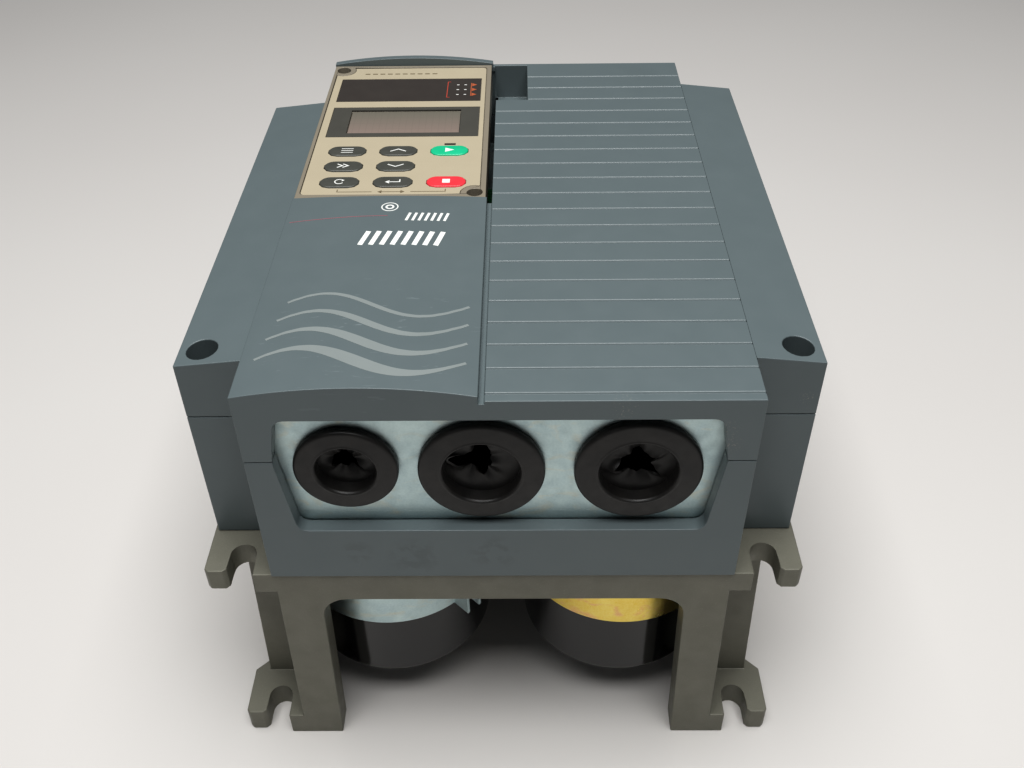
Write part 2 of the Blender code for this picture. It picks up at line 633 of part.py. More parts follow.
def side_covers():
    """The two sloped shoulders, each held by one screw at the bottom of a well."""
    low = SPLIT + GAP / 2
    inner_top, outer_top = DEPTH - SHOULDER_DROP, DEPTH - SHOULDER_DROP - SHOULDER_SLOPE
    inner = CENTRE + SEAM
    for side, sx in (("left", -1), ("right", 1)):
        y0, y1 = SHOULDER_FRONT, SHOULDER_REAR[sx]
        outer = [(HALF_W, low), (HALF_W, outer_top), (inner, inner_top), (inner, low)]
        room = [(HALF_W - WALL, low - MM), (HALF_W - WALL, outer_top - WALL),
                (inner + WALL, inner_top - WALL), (inner + WALL, low - MM)]
        outer, room = ([(sx * x, z) for x, z in shape] for shape in (outer, room))
        cover = extrusion("side_cover_" + side, [outer], y0, y1, "XZ", "cover_plastic")
        cut(cover, extrusion("cover_room", [room], y0 + WALL, y1 - WALL, "XZ"))
        spot = (sx * (HALF_W - WELL_INSET), y0 + WELL_INSET)
        join(cover, cylinder("well_wall", WELL_RADIUS + 1.5 * MM, low, outer_top - MM, spot))
        seat = low + 4 * MM
        cut(cover, cylinder("well", WELL_RADIUS, seat, inner_top + MM, spot))
        cut(cover, cylinder("well_hole", 2.3 * MM, low - MM, seat + MM, spot, segments=16))
        head = seat + GAP
        profile = [(0, head + 3 * MM), (4 * MM, head + 3 * MM), (4 * MM, head), (1.9 * MM, head),
                   (1.9 * MM, low - GAP), (1.5 * MM, low - GAP), (1.5 * MM, low - 16 * MM),
                   (0, low - 16 * MM)]
        turned("side_cover_screw_" + side, profile, (*spot, 0), material="steel_screw", steps=16)


def arched_loft(name, left, right, sections, floor):
    """A prism along Y whose top is an arc; sections: (y, height at the ends, rise)."""
    steps = 16
    form = bmesh.new()
    rings = []
    for y, end, rise in sections:
        ring = [form.verts.new((left, y, floor)), form.verts.new((right, y, floor))]
        for i in range(steps + 1):
            share = 1 - 2 * i / steps
            x = (left + right) / 2 + share * (right - left) / 2
            ring.append(form.verts.new((x, y, end + rise * (1 - share * share))))
        rings.append(ring)
    count = len(rings[0])
    form.faces.new(rings[0])
    form.faces.new(rings[-1][::-1])
    for near, far in zip(rings, rings[1:]):
        for i in range(count):
            j = (i + 1) % count
            form.faces.new((near[i], far[i], far[j]))
            form.faces.new((near[i], far[j], near[j]))
    bmesh.ops.recalc_face_normals(form, faces=form.faces)
    return mesh_object(name, form, (0, 0, 0))


def front_cover():
    """The centre cover: ribbed panel, arched crown, hood behind the keypad and keypad opening."""
    low = SPLIT + GAP / 2
    cover = box("front_cover", (-CENTRE, -HALF_L, low), (CENTRE, HALF_L, PANEL), "cover_plastic")
    keypad_edge = KEYPAD_FRONT - GAP
    hood_front = HALF_L - HOOD_DEPTH
    crown = ((-HALF_L, CROWN_END, CROWN_RISE),
             (keypad_edge, CROWN_END - 0.3 * MM, CROWN_RISE_AT_KEYPAD))
    hood = ((hood_front, CROWN_END, HOOD_RISE), (HALF_L, CROWN_END, HOOD_RISE))
    for name, sections in (("crown", crown), ("hood", hood)):
        join(cover, arched_loft(name, -CENTRE, CHANNEL_LEFT, sections, PANEL - 4 * MM))
    inner = CENTRE - WALL
    cut(cover, box("cover_room", (-inner, -HALF_L + REVEAL, low - MM),
                   (inner, HALF_L - WALL, CAVITY_TOP)))
    cut(cover, window_cutter("window_upper"))
    recess_floor = PANEL - FINGER_DEPTH
    recess = (CHANNEL_RIGHT - MM,
              -HALF_L + FIRST_GROOVE + (GROOVES - FINGER_GROOVE) * GROOVE_PITCH)
    finger_right = CHANNEL_RIGHT + FINGER_WIDTH
    join(cover, box("recess_tub", (CHANNEL_RIGHT, recess[1] - WALL, recess_floor - WALL),
                    (finger_right + WALL, HALF_L - MM, CAVITY_TOP + MM)))
    cut(cover, box("finger_recess", (*recess, recess_floor),
                   (finger_right, HALF_L - 2 * MM, DEPTH + MM)))
    pocket = KEYPAD_TOP - KEYPAD_HEIGHT - GAP
    cut(cover, box("keypad_pocket", (-CENTRE - MM, keypad_edge, pocket),
                   (CHANNEL_RIGHT, hood_front, DEPTH + MM)))
    wall = keypad_edge - WALL
    ledge = [(wall, CAVITY_TOP + MM), (wall, pocket - WALL), (KEYPAD_FRONT + 5 * MM, pocket - WALL),
             (KEYPAD_FRONT + 5 * MM, pocket), (keypad_edge, pocket), (keypad_edge, CAVITY_TOP + MM)]
    join(cover, extrusion("keypad_ledge", [ledge], -inner - MM, KEYPAD_RIGHT - 12 * MM, "YZ"))
    cut(cover, box("channel", (CHANNEL_LEFT, -HALF_L - MM, PANEL - CHANNEL_DEPTH),
                   (CHANNEL_RIGHT, keypad_edge + MM, DEPTH + MM)))
    grooves = []
    half = GROOVE_WIDTH / 2
    for index in range(GROOVES):
        y = -HALF_L + FIRST_GROOVE + index * GROOVE_PITCH
        grooves.append([(y - half, PANEL + MM), (y - half, PANEL), (y, PANEL - GROOVE_DEPTH),
                        (y + half, PANEL), (y + half, PANEL + MM)])
    cut(cover, extrusion("rib_grooves", grooves, CHANNEL_RIGHT - MM / 2, CENTRE + MM, "YZ"))


def cable_entry():
    """The zinc-plated drawn plate behind the window, and the three grommets in it."""
    half = CENTRE - WALL - SEAM
    front, back = PLATE_FRONT, PLATE_FRONT + SHEET
    top = CAVITY_TOP - MM
    bend = 3 * MM
    foot = FLANGE_TOP + WINDOW_BOTTOM + MM
    centre = (front + bend, foot + bend)
    profile = [(back, top), (front, top), *arc(centre, bend, 180, 270, 4),
               (front + PLATE_FOOT, foot), (front + PLATE_FOOT, foot + SHEET),
               *arc(centre, bend - SHEET, 270, 180, 4)]
    plate = extrusion("cable_entry_plate", [profile], -half, half, "YZ", "zinc_plate")
    for name, (x, z, flange, bore) in GROMMETS.items():
        groove = (flange + bore) / 2
        cut(plate, cylinder("grommet_hole", groove, front - MM, back + MM, (x, z), "Y", segments=24))
        face = GAP + GROMMET_FLANGE
        inside = -SHEET - GAP
        tail = inside - 2 * MM
        profile = [(bore, face), (flange, face), (flange, GAP), (groove - 2 * GAP, GAP),
                   (groove - 2 * GAP, inside), (groove + 2 * MM, inside), (groove + 2 * MM, tail),
                   (TEAR_RADIUS, tail), (TEAR_RADIUS, tail + MEMBRANE), (bore, tail + MEMBRANE)]
        turned(name, profile, (x, front, z), "Y", "grommet_rubber", steps=24)


# ---------------------------------------------------------------- keypad

def keypad_screw_spots():
    """Upper left and lower right of the case."""
    return ((KEYPAD_LEFT + SCREW_INSET, KEYPAD_REAR - SCREW_INSET),
            (KEYPAD_RIGHT - SCREW_INSET, KEYPAD_FRONT + SCREW_INSET))


def overlay_area(inset=0):
    return (KEYPAD_LEFT + MARGIN_LEFT + inset, KEYPAD_RIGHT - MARGIN_RIGHT - inset,
            KEYPAD_FRONT + MARGIN_FRONT + inset, KEYPAD_REAR - MARGIN_REAR - inset)


def window_area(from_rear, height, inset=0):
    x0, x1, _, rear = overlay_area()
    top = rear - from_rear
    return (x0 + 3.2 * MM + inset, x1 - 2 * MM - inset, top - height + inset, top - inset)


def glass_area(inset=0):
    x0, x1, y0, y1 = window_area(LCD_FROM_REAR, LCD_HEIGHT)
    return (x0 + 8.8 * MM + inset, x1 - 8.7 * MM - inset, y0 + 3.8 * MM + inset, y1 - 3 * MM - inset)


def button_spots():
    for name, column, row, material in BUTTONS:
        yield (name, KEYPAD_LEFT + FIRST_COLUMN + column * BUTTON_STEP_X,
               KEYPAD_FRONT + FIRST_ROW + row * BUTTON_STEP_Y, material)


def button_openings():
    return [stadium(x, y, BUTTON_LENGTH + 2 * GAP, BUTTON_WIDTH + 2 * GAP)
            for _, x, y, _ in button_spots()]


def keypad_case():
    base = KEYPAD_TOP - KEYPAD_HEIGHT
    face = KEYPAD_TOP - RIM
    case = box("keypad_case", (KEYPAD_LEFT, KEYPAD_FRONT, base), (KEYPAD_RIGHT, KEYPAD_REAR, KEYPAD_TOP),
               "keypad_case")
    cut(case, box("case_room", (KEYPAD_LEFT + CASE_WALL, KEYPAD_FRONT + CASE_WALL, base - MM),
                  (KEYPAD_RIGHT - CASE_WALL, KEYPAD_REAR - CASE_WALL, face - FACE)))
    for spot in keypad_screw_spots():
        join(case, cylinder("screw_tower", SCREW_WELL + 1.2 * MM, base, face - MM / 2, spot))
    tray = rounded(rectangle(*overlay_area(-GAP)), 2 * MM, 3)
    openings = button_openings()
    openings.append(rectangle(*glass_area()))
    openings.append(rectangle(*window_area(LED_FROM_REAR, LED_HEIGHT, 5 * MM)))
    cut(case, extrusion("overlay_tray", [tray], face, KEYPAD_TOP + MM))
    cut(case, extrusion("face_openings", openings, face - FACE - MM, face + MM / 2))
    for spot in keypad_screw_spots():
        join(case, cylinder("screw_island", NOTCH_RADIUS - GAP, face - FACE / 2, KEYPAD_TOP - MM / 4,
                            spot))
        cut(case, cylinder("screw_well", SCREW_WELL, base + 4 * MM, KEYPAD_TOP + MM, spot))
        cut(case, cylinder("screw_hole", 1.7 * MM, base - MM, base + 5 * MM, spot, segments=16))
    trim = box("case_trim", (KEYPAD_LEFT - 9 * MM, KEYPAD_FRONT - 9 * MM, base - MM),
               (KEYPAD_RIGHT + 9 * MM, KEYPAD_REAR + 9 * MM, KEYPAD_TOP + 2 * MM))
    cut(trim, box("case_envelope", (KEYPAD_LEFT, KEYPAD_FRONT, base - 2 * MM),
                  (KEYPAD_RIGHT, KEYPAD_REAR, KEYPAD_TOP + 3 * MM)))
    cut(case, trim)


def keypad_face():
    """Overlay film, the two windows that lie in it and the run lamp."""
    outline = rounded(rectangle(*overlay_area()), 2 * MM, 3)
    lamp = run_lamp_area()
    openings = [rectangle(*window_area(LED_FROM_REAR, LED_HEIGHT)),
                rectangle(*window_area(LCD_FROM_REAR, LCD_HEIGHT)),
                rectangle(*lamp), *button_openings()]
    overlay = extrusion("keypad_overlay", [outline], OVERLAY_LOW, OVERLAY_TOP, material="keypad_film")
    cut(overlay, extrusion("film_openings", openings, OVERLAY_LOW - MM, OVERLAY_TOP + MM))
    for spot in keypad_screw_spots():
        cut(overlay, cylinder("notch", NOTCH_RADIUS, OVERLAY_LOW - MM, OVERLAY_TOP + MM, spot))
    led = window_area(LED_FROM_REAR, LED_HEIGHT, GAP)
    extrusion("led_window", [rectangle(*led)], OVERLAY_LOW, OVERLAY_TOP, material="smoked_window")
    lcd = rectangle(*window_area(LCD_FROM_REAR, LCD_HEIGHT, GAP))
    surround = extrusion("lcd_surround", [lcd], OVERLAY_LOW, OVERLAY_TOP, material="lcd_surround")
    cut(surround, extrusion("glass_opening", [rectangle(*glass_area())], OVERLAY_LOW - MM,
                            OVERLAY_TOP + MM))
    x0, x1, y0, y1 = lamp
    box("run_lamp", (x0 + GAP, y0 + GAP, OVERLAY_LOW), (x1 - GAP, y1 - GAP, OVERLAY_TOP),
        "button_green")


def run_lamp_area():
    x = KEYPAD_LEFT + FIRST_COLUMN + 2 * BUTTON_STEP_X
    y = KEYPAD_FRONT + FIRST_ROW + 2 * BUTTON_STEP_Y + BUTTON_WIDTH / 2 + 1.2 * MM
    return x - 2.5 * MM, x + 2.5 * MM, y - 0.2 * MM, y + 1.6 * MM


def buttons():
    """Each button's origin is the middle of its top, the point that its travel moves."""
    top = OVERLAY_TOP + BUTTON_PROUD
    collar = KEYPAD_TOP - RIM - FACE - GAP
    board = KEYPAD_BOARD_Z + BOARD
    for name, x, y, material in button_spots():
        cap = [(u - x, v - y) for u, v in stadium(x, y, BUTTON_LENGTH, BUTTON_WIDTH)]
        flange = stadium(0, 0, BUTTON_LENGTH + 2 * BUTTON_FLANGE, BUTTON_WIDTH + 2 * BUTTON_FLANGE)
        button = extrusion(name, [cap], -(top - collar) - MM, 0, material=material)
        join_flange = extrusion("collar", [flange], collar - MM - top, collar - top)
        stem = cylinder("stem", 2 * MM, board + BUTTON_TRAVEL + 0.2 * MM - top, collar - MM / 2 - top,
                        (0, 0), segments=8)
        travel = bpy.data.objects.new("button_travel_" + name, None)
        travel.location = (x, y, top)
        PARTS.objects.link(travel)
        centre(button)
        for shape in (button, join_flange, stem):
            shape.parent = travel
        join(button, join_flange, stem)


def centre(obj):
    """Moves an object's origin to its parent's, keeping its shape in place."""
    obj.data.transform(obj.matrix_basis)
    obj.matrix_basis.identity()


def keypad_inside():
    low, high = KEYPAD_BOARD_Z, KEYPAD_BOARD_Z + BOARD
    inset = CASE_WALL + GAP
    board = box("keypad_board", (KEYPAD_LEFT + inset, KEYPAD_FRONT + inset, low),
                (KEYPAD_RIGHT - inset, KEYPAD_REAR - inset, high), "circuit_board")
    for spot in keypad_screw_spots():
        cut(board, cylinder("board_notch", SCREW_WELL + 1.5 * MM, low - MM, high + MM, spot))
    collar = KEYPAD_TOP - RIM - FACE - GAP
    x0, x1, y0, y1 = window_area(LCD_FROM_REAR, LCD_HEIGHT)
    module = box("lcd_module", (x0 + 3 * MM, y0 - MM, high + GAP), (x1 - 3 * MM, y1 + MM, collar),
                 "lcd_glass")
    x0, x1, y0, y1 = glass_area(GAP)
    join(module, box("glass", (x0, y0, collar - MM), (x1, y1, OVERLAY_LOW - 0.2 * MM)))
    x0, x1, y0, y1 = window_area(LED_FROM_REAR, LED_HEIGHT, 5.5 * MM)
    box("led_display", (x0, y0, high + GAP), (x1, y1, OVERLAY_LOW - GAP), "lcd_surround")
    for name, spot in zip(("upper", "lower"), keypad_screw_spots()):
        seat = KEYPAD_TOP - KEYPAD_HEIGHT + 4 * MM + GAP
        profile = [(0, seat + 2.2 * MM), (2.7 * MM, seat + 2.2 * MM), (2.7 * MM, seat),
                   (1.4 * MM, seat), (1.4 * MM, seat - 11 * MM), (0, seat - 11 * MM)]
        turned("keypad_screw_" + name, profile, (*spot, 0), material="steel_screw", steps=16)


# ---------------------------------------------------------------- cooling fans

def fans():
    """Two axial fans behind the heatsink; their shafts are part of the frames."""
    rear = HALF_L - 2 * GUARD_WIRE - GAP
    front = rear - FAN_DEPTH
    half = FAN_SIZE / 2
    z = ARCH_TOP - GAP - half
    holder = rear - FAN_HOLDER
    strut = STRUT_WIDTH / 2
    reach = half - FAN_WALL
    bolt = half - FAN_BOLT_INSET
    for side, sx in (("left", -1), ("right", 1)):
        x = sx * (NECK - 0.5 * MM - half)
        outline = rounded(rectangle(x - half, x + half, z - half, z + half), 3 * MM, 2)
        frame = extrusion("fan_frame_" + side, [outline], front, rear, "XZ", "fan_plastic")
        cut(frame, cylinder("fan_hole", reach, front - MM, rear + MM, (x, z), "Y", segments=32))
        join(frame, cylinder("holder", HUB_RADIUS, holder, rear, (x, z), "Y", segments=24),
             box("strut_wide", (x - reach, holder, z - strut), (x + reach, rear, z + strut)),
             box("strut_tall", (x - strut, holder, z - reach), (x + strut, rear, z + reach)),
             cylinder("shaft", SHAFT_RADIUS, front + SHAFT_SEAT + MM, rear - MM, (x, z), "Y",
                      segments=16))
        bolts = [(x + dx * bolt, z + dz * bolt) for dx in (-1, 1) for dz in (-1, 1)]
        for spot in bolts:
            cut(frame, cylinder("bolt_hole", FAN_BOLT_HOLE, front - MM, rear + MM, spot, "Y",
                                segments=12))
        fan_rotor(side, (x, front, z), holder - front - 2 * GAP)
        fan_guard(side, (x, HALF_L - GUARD_WIRE, z), bolts)


def fan_rotor(side, place, depth):
    """The rotor turns about Y; its local Z runs forwards, out of the intake."""
    axis = bpy.data.objects.new("fan_axis_" + side, None)
    axis.location = place
    PARTS.objects.link(axis)
    bore = SHAFT_RADIUS + SHAFT_CLEARANCE
    rim = HUB_RADIUS - MM
    profile = [(0, -HUB_FACE), (rim - MM, -HUB_FACE), (rim, -HUB_FACE - MM), (rim, -depth),
               (bore, -depth), (bore, -SHAFT_SEAT), (0, -SHAFT_SEAT)]
    rotor = turned("fan_rotor_" + side, profile, (0, 0, 0), "Y", "fan_plastic", steps=20)
    form = bmesh.new()
    inner, outer = rim - 3 * MM, FAN_SIZE / 2 - FAN_WALL - TIP_CLEARANCE
    for index in range(BLADES):
        blade = bmesh.ops.create_cube(form, size=1)["verts"]
        bmesh.ops.scale(form, vec=(outer - inner, BLADE_CHORD, BLADE_THICKNESS), verts=blade)
        bmesh.ops.rotate(form, matrix=Matrix.Rotation(radians(BLADE_PITCH), 3, "X"), verts=blade)
        bmesh.ops.translate(form, vec=((inner + outer) / 2, 0, -BLADE_MIDDLE), verts=blade)
        turn = Matrix.Rotation(2 * pi * index / BLADES, 3, "Z")
        bmesh.ops.rotate(form, matrix=turn, verts=blade)
    blades = mesh_object("blades", form, (0, 0, 0), "Y")
    for shape in (rotor, blades):
        shape.parent = axis
    join(rotor, blades)


def fan_guard(side, place, bolts):
    """Finger guard: wire rings on a cross with an eye at each fan bolt."""
    outer = FAN_SIZE / 2 - FAN_WALL - GUARD_RING_STEP / 2
    rings = []
    for index in range(GUARD_RINGS):
        radius = outer - index * GUARD_RING_STEP
        wire = [(radius + GUARD_WIRE * cos(a), GUARD_WIRE * sin(a))
                for a in (pi / 4 - k * pi / 2 for k in range(4))]
        rings.append(wire)
    y = place[1]
    guard = turned("fan_guard_" + side, rings[0], place, "Y", "steel_screw", steps=20)
    for wire in rings[1:]:
        join(guard, turned("guard_ring", wire, place, "Y", steps=16))
    reach = (FAN_SIZE / 2 - FAN_BOLT_INSET) * 2 ** 0.5
    for bearing in (45, -45):
        bar = cylinder("guard_bar", 0.9 * GUARD_WIRE, -reach, reach, (0, 0), segments=8)
        bar.location = place
        bar.rotation_euler = (0, radians(bearing), 0)
        join(guard, bar)
    for spot in bolts:
        join(guard, cylinder("guard_eye", GUARD_EYE, y - 0.8 * GUARD_WIRE, y + 0.8 * GUARD_WIRE,
                             spot, "Y", segments=12))


# ---------------------------------------------------------------- power and control parts

def power_parts():
    """Modules on the heatsink's land, the power board on them and what stands on that board."""
    low = FLANGE_TOP + GAP
    high = low + MODULE_HEIGHT
    front = SINK_FRONT + SINK_MARGIN + MODULE_GAP
    for name, (width, length) in (("rectifier_module", RECTIFIER), ("igbt_module", IGBT)):
        half = width / 2
        module = box(name, (-half, front, low), (half, front + length, high), "module_plastic")
        for sx in (-1, 1):
            x0, x1 = sorted((sx * (half - LUG_LENGTH), sx * (half + MM)))
            cut(module, box("lug_step", (x0, front - MM, low + LUG_HEIGHT),
                            (x1, front + length + MM, high + MM)))
        front += length + MODULE_GAP
    half = HALF_W - WALL - BOARD_CLEARANCE
    y0, y1 = SINK_FRONT - BOARD_OVERHANG, front + BOARD_OVERHANG
    box("power_board", (-half, y0, BOARD_Z), (half, y1, BOARD_Z + BOARD), "circuit_board")
    base = BOARD_Z + BOARD + GAP
    for name, x in SENSORS.items():
        y = y1 - SENSOR_FROM_REAR
        sensor = block_at(name, (x, y, base), SENSOR, "terminal_plastic")
        cut(sensor, cylinder("sensor_hole", SENSOR_HOLE, y - MM, y + SENSOR[1] + MM,
                             (x + SENSOR[0] / 2, base + SENSOR[2] / 2), "Y"))
    block_at("charge_relay", (RELAY_SPOT[0], y0 + RELAY_SPOT[1], base), RELAY, "relay_case")
    corner = Vector((TRANSFORMER_SPOT[0], y0 + TRANSFORMER_SPOT[1], base))
    core = block_at("control_transformer", corner, TRANSFORMER, "terminal_plastic")
    inset = Vector(WINDING_INSET)
    join(core, block_at("winding", corner + inset, Vector(TRANSFORMER) - 2 * inset))


def block_at(name, corner, size, material=None):
    corner = Vector(corner)
    return box(name, corner, corner + Vector(size), material)


def bus_bars():
    """Flat copper from the capacitor terminals to the front edge of the power board."""
    low = FLANGE_TOP + CAN_TOP_ABOVE_FLANGE + TERMINAL_HEIGHT + GAP
    high = low + BAR
    inner = (CAN_SPACING - TERMINAL_STEP) / 2
    outer = (CAN_SPACING + TERMINAL_STEP) / 2
    half = TERMINAL_RADIUS + MM
    box("dc_link_bar", (-inner - half, CAN_Y - half, low), (inner + half, CAN_Y + half, high),
        "copper_bar")
    turn = SINK_FRONT - BAR_TURN
    top = BOARD_Z - GAP
    profile = [(CAN_Y - half, low), (turn + BAR, low), (turn + BAR, top), (turn, top), (turn, high),
               (CAN_Y - half, high)]
    for name, sx in (("dc_bar_positive", -1), ("dc_bar_negative", 1)):
        extrusion(name, [profile], sx * outer - half, sx * outer + half, "YZ", "copper_bar")


def comb_block(name, sizes, front, base):
    """A terminal block: a base with a barrier at each end of every way."""
    width, depth, height, ways = sizes
    step = (width - BARRIER) / ways
    floor = base + (1 - BARRIER_SHARE) * height
    outline = [(-width / 2, base), (width / 2, base)]
    for i in range(ways, -1, -1):
        left = i * step - width / 2
        points = [(left + BARRIER, floor), (left + BARRIER, base + height), (left, base + height),
                  (left, floor)]
        if i == ways:
            points = points[1:]
        if i == 0:
            points = points[:-1]
        outline += points
    extrusion(name, [outline], front, front + depth, "XZ", "terminal_plastic")


def terminals_and_control():
    shelf_top = FLANGE_TOP + SHELF_ABOVE_FLANGE + WALL
    comb_block("main_terminal_block", TERMINAL_BLOCK, -HALF_L + 18 * MM, shelf_top + GAP)
    half = CENTRE - WALL - MM
    tray = box("control_tray", (-half, SHELF_REAR - POST, TRAY_Z),
               (half, HALF_L - POST, TRAY_Z + SHEET), "zinc_plate")
    half = CONTROL_BOARD_WIDTH / 2
    y0, y1 = SHELF_REAR - 2 * MM, KEYPAD_FRONT + CONTROL_REACH
    dx, dy = STANDOFF_INSET
    for x in (dx - half, half - dx):
        for y in (y0 + dy, y1 - dy):
            join(tray, cylinder("standoff", STANDOFF_RADIUS, TRAY_Z + SHEET / 2,
                                TRAY_Z + SHEET + STANDOFF, (x, y), segments=12))
    box("control_board", (-half, y0, CONTROL_Z), (half, y1, CONTROL_Z + BOARD), "circuit_board")
    top = CONTROL_Z + BOARD + GAP
    comb_block("control_terminal_block", CONTROL_TERMINALS, y0 + 2 * MM, top)
    x, y = KEYPAD_LEFT + CONNECTOR_SPOT[0], KEYPAD_FRONT + CONNECTOR_SPOT[1]
    block_at("keypad_connector", (x, y, top), (*CONNECTOR, KEYPAD_BOARD_Z - GAP - top),
             "terminal_plastic")


clear_scene()
PARTS = collection("variable_frequency_drive")
CUTTERS = collection("cutters")
for material_name in MATERIALS:
    make_material(material_name)
heatsink_frame()
heatsink()
capacitors()
capacitor_clamps()
main_housing()
side_covers()
front_cover()
cable_entry()
keypad_case()
keypad_face()
buttons()
keypad_inside()
fans()
power_parts()
bus_bars()
terminals_and_control()
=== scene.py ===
"""Looks of a variable frequency drive that lies on its back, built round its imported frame.

The pieces are finished in the order in which a fitter meets them: casting, covers, cable entry,
capacitors, heatsink, fans, keypad, printing. Lengths are metres, and +Z leaves the front cover.
"""
import json
import random
from math import asin, cos, pi, radians, sin

import bmesh
import bpy
from mathutils import Matrix, Vector
from mathutils.bvhtree import BVHTree


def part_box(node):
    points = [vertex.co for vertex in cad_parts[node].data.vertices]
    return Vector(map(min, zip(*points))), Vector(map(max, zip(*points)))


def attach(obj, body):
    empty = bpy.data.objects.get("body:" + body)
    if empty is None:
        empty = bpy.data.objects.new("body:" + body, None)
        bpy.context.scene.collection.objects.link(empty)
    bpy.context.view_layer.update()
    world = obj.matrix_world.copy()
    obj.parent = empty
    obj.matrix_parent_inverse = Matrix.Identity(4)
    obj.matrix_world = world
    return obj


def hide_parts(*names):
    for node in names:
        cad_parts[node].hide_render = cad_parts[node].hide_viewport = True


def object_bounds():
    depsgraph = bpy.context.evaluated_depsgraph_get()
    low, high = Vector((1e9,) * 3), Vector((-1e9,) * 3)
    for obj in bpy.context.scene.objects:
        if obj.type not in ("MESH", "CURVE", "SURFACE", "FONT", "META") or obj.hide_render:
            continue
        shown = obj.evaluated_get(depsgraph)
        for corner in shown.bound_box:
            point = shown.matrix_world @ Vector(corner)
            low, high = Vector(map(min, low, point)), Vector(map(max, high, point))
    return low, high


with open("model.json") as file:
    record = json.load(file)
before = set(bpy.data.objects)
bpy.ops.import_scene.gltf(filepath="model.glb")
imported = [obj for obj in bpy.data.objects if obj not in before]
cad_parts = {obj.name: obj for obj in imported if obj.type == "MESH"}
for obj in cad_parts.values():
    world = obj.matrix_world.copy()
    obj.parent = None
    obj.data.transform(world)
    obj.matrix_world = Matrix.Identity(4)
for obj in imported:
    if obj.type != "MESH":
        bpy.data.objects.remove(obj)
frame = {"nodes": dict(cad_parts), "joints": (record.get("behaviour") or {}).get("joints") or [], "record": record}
CAD_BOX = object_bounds()
NODES = frame["nodes"]
BODY = "drive"
MM = 0.001
WELD = 0.001 * MM

# ---- sizes that the frame's boxes don't give ----
EDGE = {  # rounding of each casting, moulding and sheet part
    "heatsink_frame": 0.5 * MM,
    "main_housing": 0.4 * MM,
    "front_cover": 0.3 * MM,
    "side_cover_left": 0.45 * MM,
    "side_cover_right": 0.45 * MM,
    "cable_entry_plate": 0.25 * MM,
    "keypad_case": 0.25 * MM,
    "fan_frame_left": 0.4 * MM,
    "fan_frame_right": 0.4 * MM,
}
GROMMET_BORES = {"left": 10.3 * MM, "middle": 13.3 * MM, "right": 13.4 * MM}
GROMMET_LIP = 3.7 * MM  # flange in front of the plate
FOLD_HALF = 74 * MM  # half the width of the entry plate's fold
TEARS = {"left": (3, 4), "middle": (4, 11), "right": (3, 23)}  # tears and seed of each membrane
SLEEVE_RADIUS = 40 * MM
SLEEVE_LIP = 5.4 * MM  # how far the sleeve rolls over a can's base
TERMINAL_OFFSET = 16 * MM  # of a can's two terminals from its middle
CAP_LENGTH = 16.6 * MM  # of a button's cap
CAP_WIDTH = 8.7 * MM
CAP_ROUNDING = 0.7 * MM
INK = 0.06 * MM  # how far printing stands proud
BLADES = 7
BLADE_SPAN = (13 * MM, 37 * MM)  # radii of a blade's root and tip
HUB_RADIUS = 16 * MM
BLADE_PITCH = (48, 30)  # degrees at the hub and at the tip
GUARD_WIRE = 0.8 * MM
GUARD_RINGS = (13 * MM, 23 * MM, 33 * MM)
GUARD_BOLT = 35.7 * MM  # from the fan's middle to a bolt, along X and along Z
FIN = 1.8 * MM
FIN_PITCH = 7.6 * MM
SINK_BASE = 8.7 * MM  # thickness of the plate that carries the fins
LAND_HEIGHT = 10.3 * MM  # the machined land that fills the flange's window
LAND_HALF = 78 * MM
LAND_INSET = 6 * MM
SHEET = 1.2 * MM
EAR_GAP = 5 * MM  # between the two ears of a clamp
EAR_LENGTH = 8 * MM
EAR_HOLE = 2.2 * MM
CROWN_EDGE = -0.0835  # X of the crown's left edge
CLAMPS = (  # side, bearing of the ears, finish
    ("left", radians(-44), "zinc_plate"),
    ("right", radians(95), "zinc_yellow"),
)


# ---------------------------------------------------------------- materials

def linear(hex_code):
    """An sRGB hex value as linear red, green, blue and alpha."""
    channels = [int(hex_code[i:i + 2], 16) / 255 for i in (0, 2, 4)]
    return [c / 12.92 if c <= 0.04045 else ((c + 0.055) / 1.055) ** 2.4 for c in channels] + [1]


def add(tree, kind, inputs=None, **settings):
    """Adds a node. settings are its properties; inputs are values, or outputs to link."""
    made = tree.nodes.new(kind)
    for key, value in settings.items():
        setattr(made, key, value)
    for key, value in (inputs or {}).items():
        if isinstance(value, bpy.types.NodeSocket):
            tree.links.new(value, made.inputs[key])
        else:
            made.inputs[key].default_value = value
    return made


def new_material(name, **constants):
    """A Principled material; constants are set on the shader's own sockets."""
    material = bpy.data.materials.new(name)
    material.use_nodes = True
    shader = material.node_tree.nodes["Principled BSDF"]
    for key, value in constants.items():
        shader.inputs[key.replace("_", " ")].default_value = value
    return material, material.node_tree, shader


def noise(tree, size, detail=2.0, distortion=0.0, stretch=(1, 1, 1)):
    """Noise with features of a real size, on the piece's own coordinates."""
    place = add(tree, "ShaderNodeTexCoord").outputs["Object"]
    scaled = add(tree, "ShaderNodeMapping", {"Vector": place, "Scale": stretch})
    return add(tree, "ShaderNodeTexNoise", {"Vector": scaled.outputs["Vector"], "Scale": 1 / size,
                                            "Detail": detail, "Distortion": distortion}).outputs["Fac"]


def spread(tree, value, low, high, to_low=0.0, to_high=1.0):
    """The value with one range stretched onto another."""
    return add(tree, "ShaderNodeMapRange", {"Value": value, "From Min": low, "From Max": high,
                                            "To Min": to_low, "To Max": to_high}).outputs["Result"]


def blend(tree, share, first, second):
    """Mixes two colours: hex values, or outputs of other nodes."""
    inputs = {0: share}
    for key, colour in ((6, first), (7, second)):
        inputs[key] = linear(colour) if isinstance(colour, str) else colour
    return add(tree, "ShaderNodeMix", inputs, data_type="RGBA").outputs[2]


